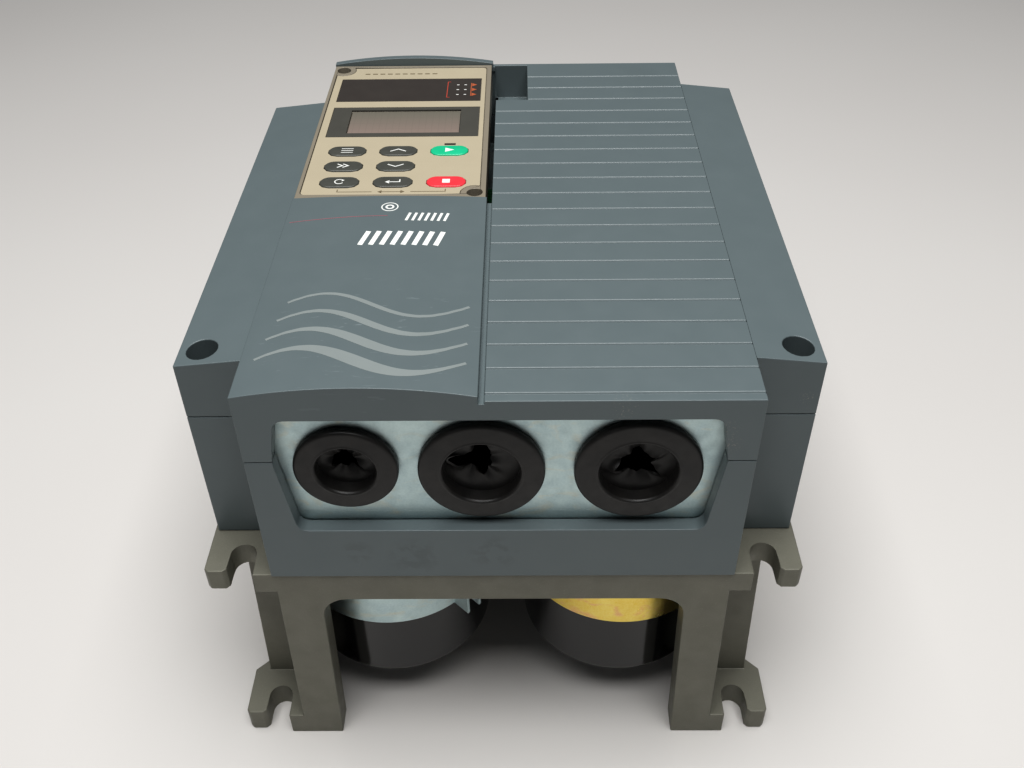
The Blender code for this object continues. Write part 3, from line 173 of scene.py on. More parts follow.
def grain(tree, shader, size, depth, strength=0.5, detail=2.0):
    """Surface texture: bumps of a real size and depth."""
    bump = add(tree, "ShaderNodeBump", {"Height": noise(tree, size, detail), "Distance": depth,
                                        "Strength": strength})
    tree.links.new(bump.outputs["Normal"], shader.inputs["Normal"])


def near(tree, centre, radius):
    """1 at a place on the piece, falling to 0 at a distance from it."""
    place = add(tree, "ShaderNodeTexCoord").outputs["Object"]
    gap = add(tree, "ShaderNodeVectorMath", {0: place, 1: centre}, operation="DISTANCE")
    return spread(tree, gap.outputs["Value"], 0, radius, 1, 0)


def product(tree, first, second):
    """Two values multiplied, to keep a mark where both allow it."""
    return add(tree, "ShaderNodeMath", {0: first, 1: second}, operation="MULTIPLY").outputs[0]


def moulded_abs(name, dark, light, gloss):
    """Spark-textured ABS moulding: satin, even colour, with a fine pebble that breaks the highlights.

    The real pebble is about 0.1 mm; it is drawn at 0.35 mm so that it shows.
    """
    material, tree, shader = new_material(name, IOR=1.53)
    colour = blend(tree, noise(tree, 35 * MM, 3), dark, light)
    tree.links.new(colour, shader.inputs["Base Color"])
    tree.links.new(spread(tree, noise(tree, 12 * MM, 4), 0.3, 0.7, gloss - 0.05, gloss + 0.06),
                   shader.inputs["Roughness"])
    grain(tree, shader, 0.35 * MM, 0.05 * MM)
    return material, tree, shader, colour


def cover_plastic():
    """The slate blue-grey covers, with rub marks at the cable end and two finger smudges."""
    material, tree, shader, colour = moulded_abs("abs_slate_covers", "606A6C", "646E70", 0.38)
    specks = spread(tree, noise(tree, 0.7 * MM, 5), 0.60, 0.66)
    marks = ((0.0405, -0.130, 0.1875, 6), (0.0745, -0.130, 0.178, 5), (0.0765, -0.130, 0.172, 4),
             (0.106, -0.107, 0.172, 4))
    for x, y, z, size in marks:
        share = product(tree, specks, spread(tree, near(tree, (x, y, z), size * MM), 0.1, 0.8, 0, 0.6))
        colour = blend(tree, share, colour, "A39C90")
    blots = spread(tree, noise(tree, 5 * MM, 3), 0.44, 0.56)
    for x, z, size in ((-0.0315, 0.1165, 13), (-0.003, 0.1185, 12), (-0.052, 0.119, 8)):
        share = product(tree, blots, spread(tree, near(tree, (x, -0.130, z), size * MM), 0.15, 0.6, 0, 0.3))
        colour = blend(tree, share, colour, "4A5052")
    scratches = noise(tree, 1.6 * MM, 4, 0.6, (0.18, 1, 1))
    share = product(tree, spread(tree, scratches, 0.66, 0.70, 0, 0.35),
                    near(tree, (-0.045, -0.1, 0.195), 45 * MM))
    colour = blend(tree, share, colour, "98A0A3")
    tree.links.new(colour, shader.inputs["Base Color"])
    return material


def painted_casting():
    """Die-cast aluminium under olive-grey paint: a sandy skin with the casting's slow unevenness."""
    material, tree, shader = new_material("painted_die_casting", IOR=1.5, Metallic=0.15)
    colour = blend(tree, noise(tree, 18 * MM, 4), "6F6E64", "7A796D")
    flecks = spread(tree, noise(tree, 0.6 * MM, 3), 0.60, 0.72, 0, 0.4)
    tree.links.new(blend(tree, flecks, colour, "918F82"), shader.inputs["Base Color"])
    tree.links.new(spread(tree, noise(tree, 6 * MM, 3), 0.3, 0.7, 0.42, 0.6), shader.inputs["Roughness"])
    grain(tree, shader, 0.7 * MM, 0.12 * MM, 0.6, 4.0)
    return material


def zinc(name, tints, roughness):
    """Zinc-plated sheet: cool metal under a thin passivation film that tints it in soft patches."""
    material, tree, shader = new_material(name, Metallic=1.0)
    colour = blend(tree, spread(tree, noise(tree, 14 * MM, 3, 0.8), 0.35, 0.65), tints[0], tints[1])
    patches = spread(tree, noise(tree, 16 * MM, 3, 1.5, (1, 1, 2)), 0.54, 0.72, 0, 0.8)
    colour = blend(tree, patches, colour, tints[2])
    crystals = spread(tree, noise(tree, 0.8 * MM, 4), 0.3, 0.7, 0, 0.28)
    tree.links.new(blend(tree, crystals, colour, tints[3]), shader.inputs["Base Color"])
    tree.links.new(spread(tree, noise(tree, 4 * MM, 4), 0.3, 0.7, roughness - 0.07, roughness + 0.09),
                   shader.inputs["Roughness"])
    grain(tree, shader, 0.5 * MM, 0.03 * MM, 0.35)
    return material


def bare_metal(name, dark, light, roughness, stretch=(1, 1, 1)):
    """Bare metal with drawing lines along one direction; stretch thins the pattern on an axis."""
    material, tree, shader = new_material(name, Metallic=1.0)
    lines = noise(tree, 0.6 * MM, 3, 0, stretch)
    tree.links.new(blend(tree, lines, dark, light), shader.inputs["Base Color"])
    tree.links.new(spread(tree, lines, 0.3, 0.7, roughness - 0.08, roughness + 0.08),
                   shader.inputs["Roughness"])
    return material


def rubber(name, dark, light, roughness):
    """Moulded rubber: dull, with a bloom of lighter patches and dust in the pores."""
    material, tree, shader = new_material(name, IOR=1.5)
    colour = blend(tree, spread(tree, noise(tree, 7 * MM, 4), 0.35, 0.7), dark, light)
    tree.links.new(colour, shader.inputs["Base Color"])
    tree.links.new(spread(tree, noise(tree, 3 * MM, 3), 0.3, 0.7, roughness - 0.06, roughness + 0.08),
                   shader.inputs["Roughness"])
    grain(tree, shader, 0.45 * MM, 0.04 * MM, 0.4)
    return material


def glossy(name, dark, light, roughness, ripple=0.0):
    """Film, sleeve or acrylic: glossy, with a slow ripple where the film was shrunk or laid."""
    material, tree, shader = new_material(name, IOR=1.5, Roughness=roughness, Coat_Weight=0.3,
                                          Coat_Roughness=0.08)
    tree.links.new(blend(tree, noise(tree, 9 * MM, 2), dark, light), shader.inputs["Base Color"])
    grain(tree, shader, 9 * MM, ripple or 0.01 * MM, 0.3)
    return material


def display_glass():
    """Unlit liquid crystal panel: warm grey with a painted reflection that turns it greener towards its far edge,
    and a faint cell grid.
    """
    material, tree, shader = new_material("lcd_panel", IOR=1.5, Roughness=0.18, Coat_Weight=0.5)
    low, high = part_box("lcd_surround")
    place = add(tree, "ShaderNodeTexCoord").outputs["Object"]
    axes = add(tree, "ShaderNodeSeparateXYZ", {"Vector": place})
    # Painted reflection: the panel shades from pinkish grey at its near edge to greener grey at its far edge.
    depth = spread(tree, axes.outputs["Y"], low.y + 5 * MM, high.y - 5 * MM)
    colour = blend(tree, depth, "8B7D75", "747066")
    cells = add(tree, "ShaderNodeTexBrick", {"Vector": place, "Scale": 1.0, "Brick Width": 3.0 * MM,
                                             "Row Height": 5.4 * MM, "Mortar Size": 0.18 * MM,
                                             "Color1": (0, 0, 0, 1), "Color2": (0, 0, 0, 1),
                                             "Mortar": (1, 1, 1, 1)}, offset=0.0)
    faint = product(tree, cells.outputs["Color"], 0.10)
    tree.links.new(blend(tree, faint, colour, "5A5A52"), shader.inputs["Base Color"])
    return material


def circuit_board():
    """Glass epoxy board under green solder mask: tracks show as lighter blocks under the gloss."""
    material, tree, shader = new_material("solder_mask", IOR=1.5, Roughness=0.35)
    place = add(tree, "ShaderNodeTexCoord").outputs["Object"]
    tracks = add(tree, "ShaderNodeTexBrick", {"Vector": place, "Scale": 1.0, "Brick Width": 9 * MM,
                                              "Row Height": 2.5 * MM, "Mortar Size": 0.5 * MM,
                                              "Color1": linear("0F5A2E"), "Color2": linear("176B38"),
                                              "Mortar": linear("0A4022")})
    tree.links.new(tracks.outputs["Color"], shader.inputs["Base Color"])
    grain(tree, shader, 1.2 * MM, 0.03 * MM, 0.3)
    return material


def painted_highlight_edge():
    """Painted highlight along a moulding's rounded edges: the same plastic, paler and shinier."""
    return moulded_abs("abs_slate_painted_edge_highlight", "8F979A", "9CA4A7", 0.28)[0]


def painted_highlight_casting_edge():
    """Painted highlight along a casting's rounded edges: paler, shinier bare metal in place of the paint."""
    return bare_metal("casting_painted_edge_highlight", "9C9A90", "C4C2B6", 0.36)


MATERIALS = {  # slot of the record: its finish
    "cover_plastic": cover_plastic(),
    "cast_aluminium": painted_casting(),
    "bare_aluminium": bare_metal("extruded_aluminium", "A5A8AA", "C9CBCC", 0.38, (1, 0.04, 1)),
    "zinc_plate": zinc("blue_zinc_plate", ("AFC1C4", "BCCCCC", "C4C5B8", "D6E2E2"), 0.42),
    "zinc_yellow": zinc("yellow_zinc_plate", ("E3C75C", "EBD678", "E0A988", "F4E8B4"), 0.34),
    "grommet_rubber": rubber("epdm_rubber", "191817", "242220", 0.42),
    "can_sleeve": glossy("pvc_shrink_sleeve", "0B0B0C", "141415", 0.16, 0.05 * MM),
    "keypad_case": moulded_abs("abs_warm_grey_case", "827B6E", "8A8375", 0.42)[0],
    "keypad_film": moulded_abs("polyester_film", "ABA28E", "B0A792", 0.4)[0],
    "smoked_window": glossy("smoked_acrylic", "3D3835", "45403C", 0.14),
    "lcd_surround": glossy("printed_film_olive", "4D4C47", "55544E", 0.26),
    "lcd_glass": display_glass(),
    "button_rubber": rubber("silicone_dark_grey", "494A45", "4F504B", 0.42),
    "button_green": rubber("silicone_green", "1BB084", "24B68B", 0.38),
    "button_red": rubber("silicone_red", "D23E48", "D84650", 0.38),
    "circuit_board": circuit_board(),
    "terminal_plastic": rubber("nylon_black", "1D1D1E", "262627", 0.45),
    "module_plastic": moulded_abs("module_case", "B8B4AA", "C2BEB4", 0.45)[0],
    "copper_bar": bare_metal("rolled_copper", "B4653F", "CE8257", 0.32, (0.05, 1, 1)),
    "steel_screw": bare_metal("zinc_plated_steel", "8E8A80", "B3AFA4", 0.33),
    "fan_plastic": rubber("glass_filled_nylon", "161616", "202021", 0.48),
    "relay_case": glossy("relay_case_blue", "1C3B86", "244796", 0.3),
}
# Second material for the rounded edges of covers and casting: a painted highlight along every edge.
PAINTED_EDGE_HIGHLIGHT = {"cover_plastic": painted_highlight_edge(), "cast_aluminium": painted_highlight_casting_edge()}
WHITE_INK = moulded_abs("white_ink", "D5D6D2", "DEDFDB", 0.5)[0]
PALE_INK = moulded_abs("pale_grey_ink", "7E8584", "878D8C", 0.5)[0]
DARK_INK = moulded_abs("umber_ink", "6A5F4B", "746953", 0.5)[0]
RED_INK = moulded_abs("red_ink", "A34436", "AE4E3E", 0.45)[0]
AMBER_INK = moulded_abs("amber_ink", "A65A3A", "B06644", 0.45)[0]
FAINT_RED_INK = moulded_abs("faint_red_ink", "8C5F66", "94656B", 0.5)[0]
SLOTS = {part["node"]: part["material_slot"] for part in frame["record"]["subparts"]}


# ---------------------------------------------------------------- making pieces

def place_piece(name, mesh, body, slot, materials, *stands_for):
    """A finished mesh as a piece that rides on a body, in place of CAD nodes."""
    piece = bpy.data.objects.new(name, mesh)
    bpy.context.scene.collection.objects.link(piece)
    mesh.materials.clear()
    for material in materials:
        mesh.materials.append(material)
    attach(piece, body)
    if stands_for:
        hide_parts(*stands_for)
    return piece


def to_mesh(name, form, smooth=35):
    """The form as a mesh, smooth except across edges sharper than an angle."""
    bmesh.ops.recalc_face_normals(form, faces=form.faces)
    mesh = bpy.data.meshes.new(name)
    form.to_mesh(mesh)
    form.free()
    mesh.shade_smooth()
    mesh.set_sharp_from_angle(angle=radians(smooth))
    return mesh


def evaluated(mesh, *modifiers):
    """The mesh after modifiers, each given as (type, settings)."""
    holder = bpy.data.objects.new("holder", mesh)
    bpy.context.scene.collection.objects.link(holder)
    for kind, settings in modifiers:
        modifier = holder.modifiers.new(kind.lower(), kind)
        for key, value in settings.items():
            setattr(modifier, key, value)
    graph = bpy.context.evaluated_depsgraph_get()
    result = bpy.data.meshes.new_from_object(holder.evaluated_get(graph), depsgraph=graph)
    bpy.data.objects.remove(holder)
    return result


def without(mesh, cutter):
    """The mesh with a cutter's shape taken out of it."""
    tool = bpy.data.objects.new("cutter", cutter)
    bpy.context.scene.collection.objects.link(tool)
    result = evaluated(mesh, ("BOOLEAN", {"operation": "DIFFERENCE", "object": tool,
                                          "solver": "EXACT", "use_self": True}))
    bpy.data.objects.remove(tool)
    return result


def refined(node, width):
    """A copy of a CAD node, welded, with its flat faces made whole and its edges rounded."""
    form = bmesh.new()
    form.from_mesh(NODES[node].data)
    bmesh.ops.remove_doubles(form, verts=form.verts, dist=WELD)
    bmesh.ops.dissolve_limit(form, angle_limit=radians(0.15), verts=form.verts, edges=form.edges)
    weight = form.edges.layers.float.new("bevel_weight_edge")
    for edge in form.edges:
        sharp = edge.is_manifold and edge.calc_face_angle(0) > radians(25)
        rounded_off = sharp and edge.calc_length() > 2.2 * width
        edge[weight] = 1.0 if rounded_off else 0.0
        edge.smooth = rounded_off or not sharp
    for face in form.faces:
        face.smooth = True
    mesh = bpy.data.meshes.new(node)
    form.to_mesh(mesh)
    form.free()
    slot = SLOTS[node]
    materials = [MATERIALS[slot]]
    # The bevel faces take the last material, which for covers and casting is the painted edge highlight.
    if slot in PAINTED_EDGE_HIGHLIGHT:
        materials.append(PAINTED_EDGE_HIGHLIGHT[slot])
    for material in materials:
        mesh.materials.append(material)
    mesh = evaluated(mesh, ("BEVEL", {"width": width, "segments": 2, "limit_method": "WEIGHT",
                                      "use_clamp_overlap": False, "material": len(materials) - 1}),
                     ("WEIGHTED_NORMAL", {"keep_sharp": True}))
    return place_piece(node + "_finished", mesh, BODY, slot, materials, node)


def lathe(profile, segments, matrix, closed=True):
    """Turns (radius, height) points about Z and places the result."""
    form = bmesh.new()
    ring = [form.verts.new((radius, 0, height)) for radius, height in profile]
    edges = [form.edges.new(pair) for pair in zip(ring, ring[1:])]
    if closed:
        edges.append(form.edges.new((ring[-1], ring[0])))
    bmesh.ops.spin(form, geom=ring + edges, cent=(0, 0, 0), axis=(0, 0, 1), angle=2 * pi,
                   steps=segments, use_merge=True)
    bmesh.ops.remove_doubles(form, verts=form.verts, dist=WELD)
    bmesh.ops.transform(form, matrix=matrix, verts=form.verts)
    return form


def rounded(points, radius, steps=5):
    """The outline with each corner replaced by an arc; radius is one value or one a corner."""
    result = []
    for i, corner in enumerate(points):
        size = radius[i] if isinstance(radius, (list, tuple)) else radius
        corner = Vector(corner)
        if size == 0:
            result.append(tuple(corner))
            continue
        before = (Vector(points[i - 1]) - corner).normalized()
        after = (Vector(points[(i + 1) % len(points)]) - corner).normalized()
        for k in range(steps + 1):
            t = k / steps
            start, end = corner + before * size, corner + after * size
            result.append(tuple(start * (1 - t) ** 2 + corner * 2 * t * (1 - t) + end * t * t))
    return result


def facing_front(x, y, z):
    """Stands a turned shape at a place with its local +Z towards the cable end, -Y."""
    return Matrix.Translation((x, y, z)) @ Matrix.Rotation(pi / 2, 4, "X")


def solid_box(form, low, high):
    """Adds a block between two corners to a form."""
    low, high = Vector(low), Vector(high)
    made = bmesh.ops.create_cube(form, size=1)["verts"]
    bmesh.ops.scale(form, vec=high - low, verts=made)
    bmesh.ops.translate(form, vec=(low + high) / 2, verts=made)


def skinned(form, rings):
    """Joins closed rings of points with a band of faces between each ring and the next."""
    for lower, upper in zip(rings, rings[1:]):
        for i in range(len(lower)):
            j = (i + 1) % len(lower)
            form.faces.new((lower[i], lower[j], upper[j], upper[i]))


# ---------------------------------------------------------------- repeated shapes

def repeat_tree(name, pattern):
    """A node tree that copies a shape in a row, or round a ring with a seeded wobble."""
    tree = bpy.data.node_groups.new(name, "GeometryNodeTree")
    tree.interface.new_socket("Geometry", in_out="OUTPUT", socket_type="NodeSocketGeometry")
    for label, kind in (("Shape", "Object"), ("Count", "Int"), ("Pitch", "Vector"),
                        ("Wobble", "Float"), ("Seed", "Int"), ("Finish", "Material")):
        tree.interface.new_socket(label, in_out="INPUT", socket_type="NodeSocket" + kind)
    given = tree.nodes.new("NodeGroupInput").outputs
    shape = add(tree, "GeometryNodeObjectInfo", {"Object": given["Shape"]}).outputs["Geometry"]
    line = add(tree, "GeometryNodeMeshLine", {"Count": given["Count"]})
    if pattern == "row":
        tree.links.new(given["Pitch"], line.inputs["Offset"])
    copies = add(tree, "GeometryNodeInstanceOnPoints", {"Points": line.outputs["Mesh"],
                                                        "Instance": shape})
    if pattern == "ring":
        line.inputs["Offset"].default_value = (0, 0, 0)
        index = add(tree, "GeometryNodeInputIndex").outputs["Index"]
        part = add(tree, "ShaderNodeMath", {0: index, 1: given["Count"]}, operation="DIVIDE")
        turn = add(tree, "ShaderNodeMath", {0: part.outputs[0], 1: 2 * pi}, operation="MULTIPLY")
        least = add(tree, "ShaderNodeMath", {0: given["Wobble"], 1: -1.0}, operation="MULTIPLY")
        wobble = add(tree, "FunctionNodeRandomValue", {"ID": index, "Seed": given["Seed"]},
                     data_type="FLOAT")
        tree.links.new(least.outputs[0], wobble.inputs[2])
        tree.links.new(given["Wobble"], wobble.inputs[3])
        angle = add(tree, "ShaderNodeMath", {0: turn.outputs[0], 1: wobble.outputs[1]},
                    operation="ADD")
        tree.links.new(add(tree, "ShaderNodeCombineXYZ", {"Z": angle.outputs[0]}).outputs["Vector"],
                       copies.inputs["Rotation"])
    real = add(tree, "GeometryNodeRealizeInstances", {"Geometry": copies.outputs["Instances"]})
    ended = add(tree, "GeometryNodeSetMaterial", {"Geometry": real.outputs["Geometry"],
                                                  "Material": given["Finish"]})
    add(tree, "NodeGroupOutput", {"Geometry": ended.outputs["Geometry"]})
    return tree


ROW = repeat_tree("copies_in_a_row", "row")
RING = repeat_tree("copies_in_a_ring", "ring")


def repeated(tree, shape, finish, **values):
    """The tree's result as a plain mesh; values are its other inputs by name."""
    source = bpy.data.objects.new("repeated_shape", shape)
    holder = bpy.data.objects.new("repeat_holder", bpy.data.meshes.new("repeat_holder"))
    for obj in (source, holder):
        bpy.context.scene.collection.objects.link(obj)
    modifier = holder.modifiers.new("repeat", "NODES")
    modifier.node_group = tree
    values.update(Shape=source, Finish=finish)
    for item in tree.interface.items_tree:
        if item.in_out == "INPUT" and item.name in values:
            modifier[item.identifier] = values[item.name]
    graph = bpy.context.evaluated_depsgraph_get()
    mesh = bpy.data.meshes.new_from_object(holder.evaluated_get(graph), depsgraph=graph)
    for obj in (holder, source):
        bpy.data.objects.remove(obj)
    return mesh


def joined(name, meshes, smooth=35):
    """Several meshes as one."""
    form = bmesh.new()
    for mesh in meshes:
        form.from_mesh(mesh)
    return to_mesh(name, form, smooth)


# ---------------------------------------------------------------- cable entry

def grommets():
    """Flanged rubber grommets, each with its membrane torn open by a cable."""
    for side, bore in GROMMET_BORES.items():
        node = "cable_grommet_" + side
        low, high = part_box(node)
        flange = (high.x - low.x) / 2
        middle = (low + high) / 2
        front = GROMMET_LIP
        tail = front - (high.y - low.y)
        groove = (flange + bore) / 2 - 0.6 * MM
        profile = [(bore, tail), (bore, front - 0.9 * MM), (bore + 0.7 * MM, front),
                   (bore + 1.5 * MM, front - 0.3 * MM), (flange, front - 0.4 * MM),
                   (flange, 0.3 * MM), (groove, 0.3 * MM),
                   (groove, -1.5 * MM), (groove + 2 * MM, -1.5 * MM), (groove + 2 * MM, tail)]
        soft = [0, 0.4 * MM, 0.45 * MM, 0.3 * MM, 1.6 * MM, 0.4 * MM, 0, 0, 0.2 * MM, 0.3 * MM]
        place = facing_front(middle.x, low.y + front, middle.z)
        form = lathe(rounded(profile, soft, 4), 96, place)
        body = to_mesh(node, form, 50)
        skin = torn_membrane(bore, tail + 1.3 * MM, *TEARS[side])
        skin.transform(place)
        place_piece(node + "_finished", joined(node, [body, skin], 50), BODY, "grommet_rubber",
                    [MATERIALS["grommet_rubber"]], node)


def torn_membrane(bore, height, count, seed):
    """A thin web with a ragged hole, whose lips are pushed in and curl as they did at the tear."""
    chance = random.Random(seed)
    around, along = 96, 12
    tears = [(chance.uniform(0, 2 * pi), chance.uniform(0.12, 0.28), chance.uniform(0.35, 0.8))
             for _ in range(count)]
    off = bore * 0.12 * Vector((chance.uniform(-1, 1), chance.uniform(-1, 1)))
    form = bmesh.new()
    rings = []
    for j in range(along + 1):
        v = j / along
        ring = []
        for i in range(around):
            a = 2 * pi * i / around
            open_share = 0.38 + 0.05 * sin(3 * a + seed) + 0.02 * sin(13 * a + 2 * seed)
            curl = 0.6 + 0.5 * sin(2 * a + seed) + 0.35 * sin(5 * a)
            for middle, reach, width in tears:
                turn = abs((a - middle + pi) % (2 * pi) - pi)
                slit = max(0.0, 1 - turn / width)
                open_share += reach * slit * slit
                curl -= 0.8 * slit
            radius = bore + 0.4 * MM - (bore + 0.4 * MM) * (1 - min(open_share, 0.9)) * v
            sag = 2.4 * MM * curl * v * v
            ring.append(form.verts.new((radius * cos(a) + off.x * v, radius * sin(a) + off.y * v,
                                        height - sag)))
        rings.append(ring)
    skinned(form, rings)
    return evaluated(to_mesh("membrane", form), ("SOLIDIFY", {"thickness": 0.7 * MM, "offset": 0}))


def plate_fold():
    """The drawn edge of the entry plate, turned down behind the sill of the window."""
    low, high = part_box("cable_entry_plate")
    form = bmesh.new()
    solid_box(form, (-FOLD_HALF, low.y - 0.05 * MM, low.z - 3 * MM),
              (FOLD_HALF, low.y + 1.1 * MM, low.z + 3.6 * MM))
    mesh = evaluated(to_mesh("fold", form), ("BEVEL", {"width": 0.3 * MM, "segments": 2}))
    place_piece("entry_plate_fold", mesh, BODY, "zinc_plate", [MATERIALS["zinc_plate"]])


# ---------------------------------------------------------------- capacitors, heatsink, fans

def capacitors():
    """Cans in a shrink sleeve that rolls over the lower rim and leaves the base bare."""
    for side in ("left", "right"):
        node = "dc_capacitor_" + side
        low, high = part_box(node)
        middle = (low + high) / 2
        top = high.z - 3 * MM
        place = Matrix.Translation((middle.x, middle.y, 0))
        profile = [(0, top), (SLEEVE_RADIUS, top), (SLEEVE_RADIUS, low.z),
                   (SLEEVE_RADIUS - SLEEVE_LIP + 0.4 * MM, low.z),
                   (SLEEVE_RADIUS - SLEEVE_LIP, low.z + 0.5 * MM), (0, low.z + 0.5 * MM)]
        form = lathe(rounded(profile, [0, 2 * MM, 1.6 * MM, 0.2 * MM, 0, 0], 8), 128, place,
                     closed=False)
        for dx in (-TERMINAL_OFFSET, TERMINAL_OFFSET):
            post = rounded([(0, high.z), (5 * MM, high.z), (5 * MM, top - MM), (0, top - MM)],
                           [0, 0.6 * MM, 0, 0], 3)
            stud = lathe(post, 32, Matrix.Translation((middle.x + dx, middle.y, 0)), closed=False)
            part = bpy.data.meshes.new("terminal")
            stud.to_mesh(part)
            stud.free()
            form.from_mesh(part)
        mesh = to_mesh(node, form, 40)
        piece = place_piece(node + "_finished", mesh, BODY, "can_sleeve",
                            [MATERIALS["can_sleeve"], MATERIALS["bare_aluminium"]], node)
        for face in piece.data.polygons:
            base = face.center.z < low.z + MM and face.normal.z < -0.99
            inside = (face.center.xy - middle.xy).length < SLEEVE_RADIUS - SLEEVE_LIP
            if base and inside or face.center.z > top + MM / 2:
                face.material_index = 1


def clamps():
    """Rolled sheet bands with a screw hole through two ears, smooth where the sheet was bent."""
    for side, bearing, finish in CLAMPS:
        node = "capacitor_clamp_" + side
        low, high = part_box(node)
        can_low, can_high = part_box("dc_capacitor_" + side)
        middle = (can_low + can_high) / 2
        inner = SLEEVE_RADIUS + 0.3 * MM
        outer = inner + SHEET
        half = EAR_GAP / 2
        start, end = asin((half + SHEET) / outer), asin(half / inner)
        outline = [(outer + EAR_LENGTH, half), (outer + EAR_LENGTH, half + SHEET)]
        outline += [(outer * cos(a), outer * sin(a))
                    for a in (start + (2 * pi - 2 * start) * k / 120 for k in range(121))]
        outline += [(outer + EAR_LENGTH, -half - SHEET), (outer + EAR_LENGTH, -half)]
        outline += [(inner * cos(a), inner * sin(a))
                    for a in (2 * pi - end - (2 * pi - 2 * end) * k / 120 for k in range(121))]
        form = bmesh.new()
        rings = [[form.verts.new((x, y, z)) for x, y in outline] for z in (low.z, high.z)]
        skinned(form, rings)
        form.faces.new(rings[0])
        form.faces.new(rings[1])
        hole = bmesh.new()
        bmesh.ops.create_cone(hole, cap_ends=True, segments=24, radius1=EAR_HOLE, radius2=EAR_HOLE,
                              depth=12 * MM)
        spot = Matrix.Translation((outer + EAR_LENGTH / 2 + MM, 0, (low.z + high.z) / 2))
        bmesh.ops.transform(hole, matrix=spot @ Matrix.Rotation(pi / 2, 4, "X"), verts=hole.verts)
        mesh = evaluated(without(to_mesh(node, form, 30), to_mesh("hole", hole)),
                         ("BEVEL", {"width": 0.2 * MM, "segments": 2, "limit_method": "ANGLE",
                                    "angle_limit": radians(40), "use_clamp_overlap": False}),
                         ("WEIGHTED_NORMAL", {"keep_sharp": True}))
        mesh.transform(Matrix.Translation((middle.x, middle.y, 0)) @ Matrix.Rotation(bearing, 4, "Z"))
        place_piece(node + "_finished", mesh, BODY, finish, [MATERIALS[finish]], node)


def heatsink():
    """Fins in a row under a thick base, with the machined land that fills the flange's window."""
    low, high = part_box("heatsink")
    base_low = high.z - LAND_HEIGHT - SINK_BASE
    count = int((high.x - low.x - FIN) / FIN_PITCH) + 1
    form = bmesh.new()
    solid_box(form, (-FIN / 2, low.y, low.z), (FIN / 2, high.y, base_low + MM))
    for vertex in form.verts:
        if vertex.co.z < low.z + MM:
            vertex.co.x *= 0.75
    bmesh.ops.bevel(form, geom=form.edges[:], offset=0.25 * MM, segments=2, affect="EDGES")
    fin = to_mesh("fin", form)
    first = -(count - 1) * FIN_PITCH / 2
    fin.transform(Matrix.Translation((first, 0, 0)))
    fins = repeated(ROW, fin, MATERIALS["bare_aluminium"], Count=count, Pitch=(FIN_PITCH, 0, 0))
    form = bmesh.new()
    form.from_mesh(fins)
    solid_box(form, (low.x, low.y, base_low), (high.x, high.y, base_low + SINK_BASE))
    solid_box(form, (-LAND_HALF, low.y + LAND_INSET, base_low + SINK_BASE - MM),
              (LAND_HALF, high.y - LAND_INSET, high.z))
    place_piece("heatsink_finished", to_mesh("heatsink", form), BODY, "bare_aluminium",
                [MATERIALS["bare_aluminium"]], "heatsink")


def fan_blade(depth):
    """One swept, twisted, cambered blade of even thickness."""
    form = bmesh.new()
    inner, outer = BLADE_SPAN
    spans, chords = 8, 10
    grid = []
    for j in range(spans + 1):
        v = j / spans
        radius = inner + (outer - inner) * v
        pitch = radians(BLADE_PITCH[0] + (BLADE_PITCH[1] - BLADE_PITCH[0]) * v)
        chord = 17 * MM + 4 * MM * v
        row = []
        for i in range(chords + 1):
            u = i / chords - 0.5
            across = u * chord * cos(pitch) + 3 * MM * v * v
            height = -depth / 2 - u * chord * sin(pitch) + 1.6 * MM * (1 - 4 * u * u)
            angle = across / radius
            row.append(form.verts.new((radius * cos(angle), radius * sin(angle), height)))
        grid.append(row)
    for near_row, far_row in zip(grid, grid[1:]):
        for i in range(chords):
            form.faces.new((near_row[i], near_row[i + 1], far_row[i + 1], far_row[i]))
    mesh = to_mesh("blade", form, 60)
    return evaluated(mesh, ("SOLIDIFY", {"thickness": 1.3 * MM, "offset": 0}))


def fans():
    """Rotors with seven blades, each on its own body, and wire guards behind them."""
    for side in ("left", "right"):
        node = "fan_rotor_" + side
        low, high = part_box(node)
        spin = next(j for j in frame["joints"] if j["child"] == node)
        x, y, z = spin["pos_m"]
        depth = high.y - y
        place = facing_front(x, y, z)
        face = y - low.y
        hub = rounded([(0, face), (HUB_RADIUS, face), (HUB_RADIUS, -depth), (0, -depth)],
                      [0, 2.2 * MM, 0.3 * MM, 0], 6)
        turned_hub = to_mesh("hub", lathe(hub, 64, Matrix.Identity(4), closed=False), 40)
        blades = repeated(RING, fan_blade(depth), MATERIALS["fan_plastic"], Count=BLADES)
        mesh = joined(node, [turned_hub, blades], 45)
        mesh.transform(place)
        place_piece(node + "_finished", mesh, node, "fan_plastic", [MATERIALS["fan_plastic"]], node)
        guard(side, x, z)


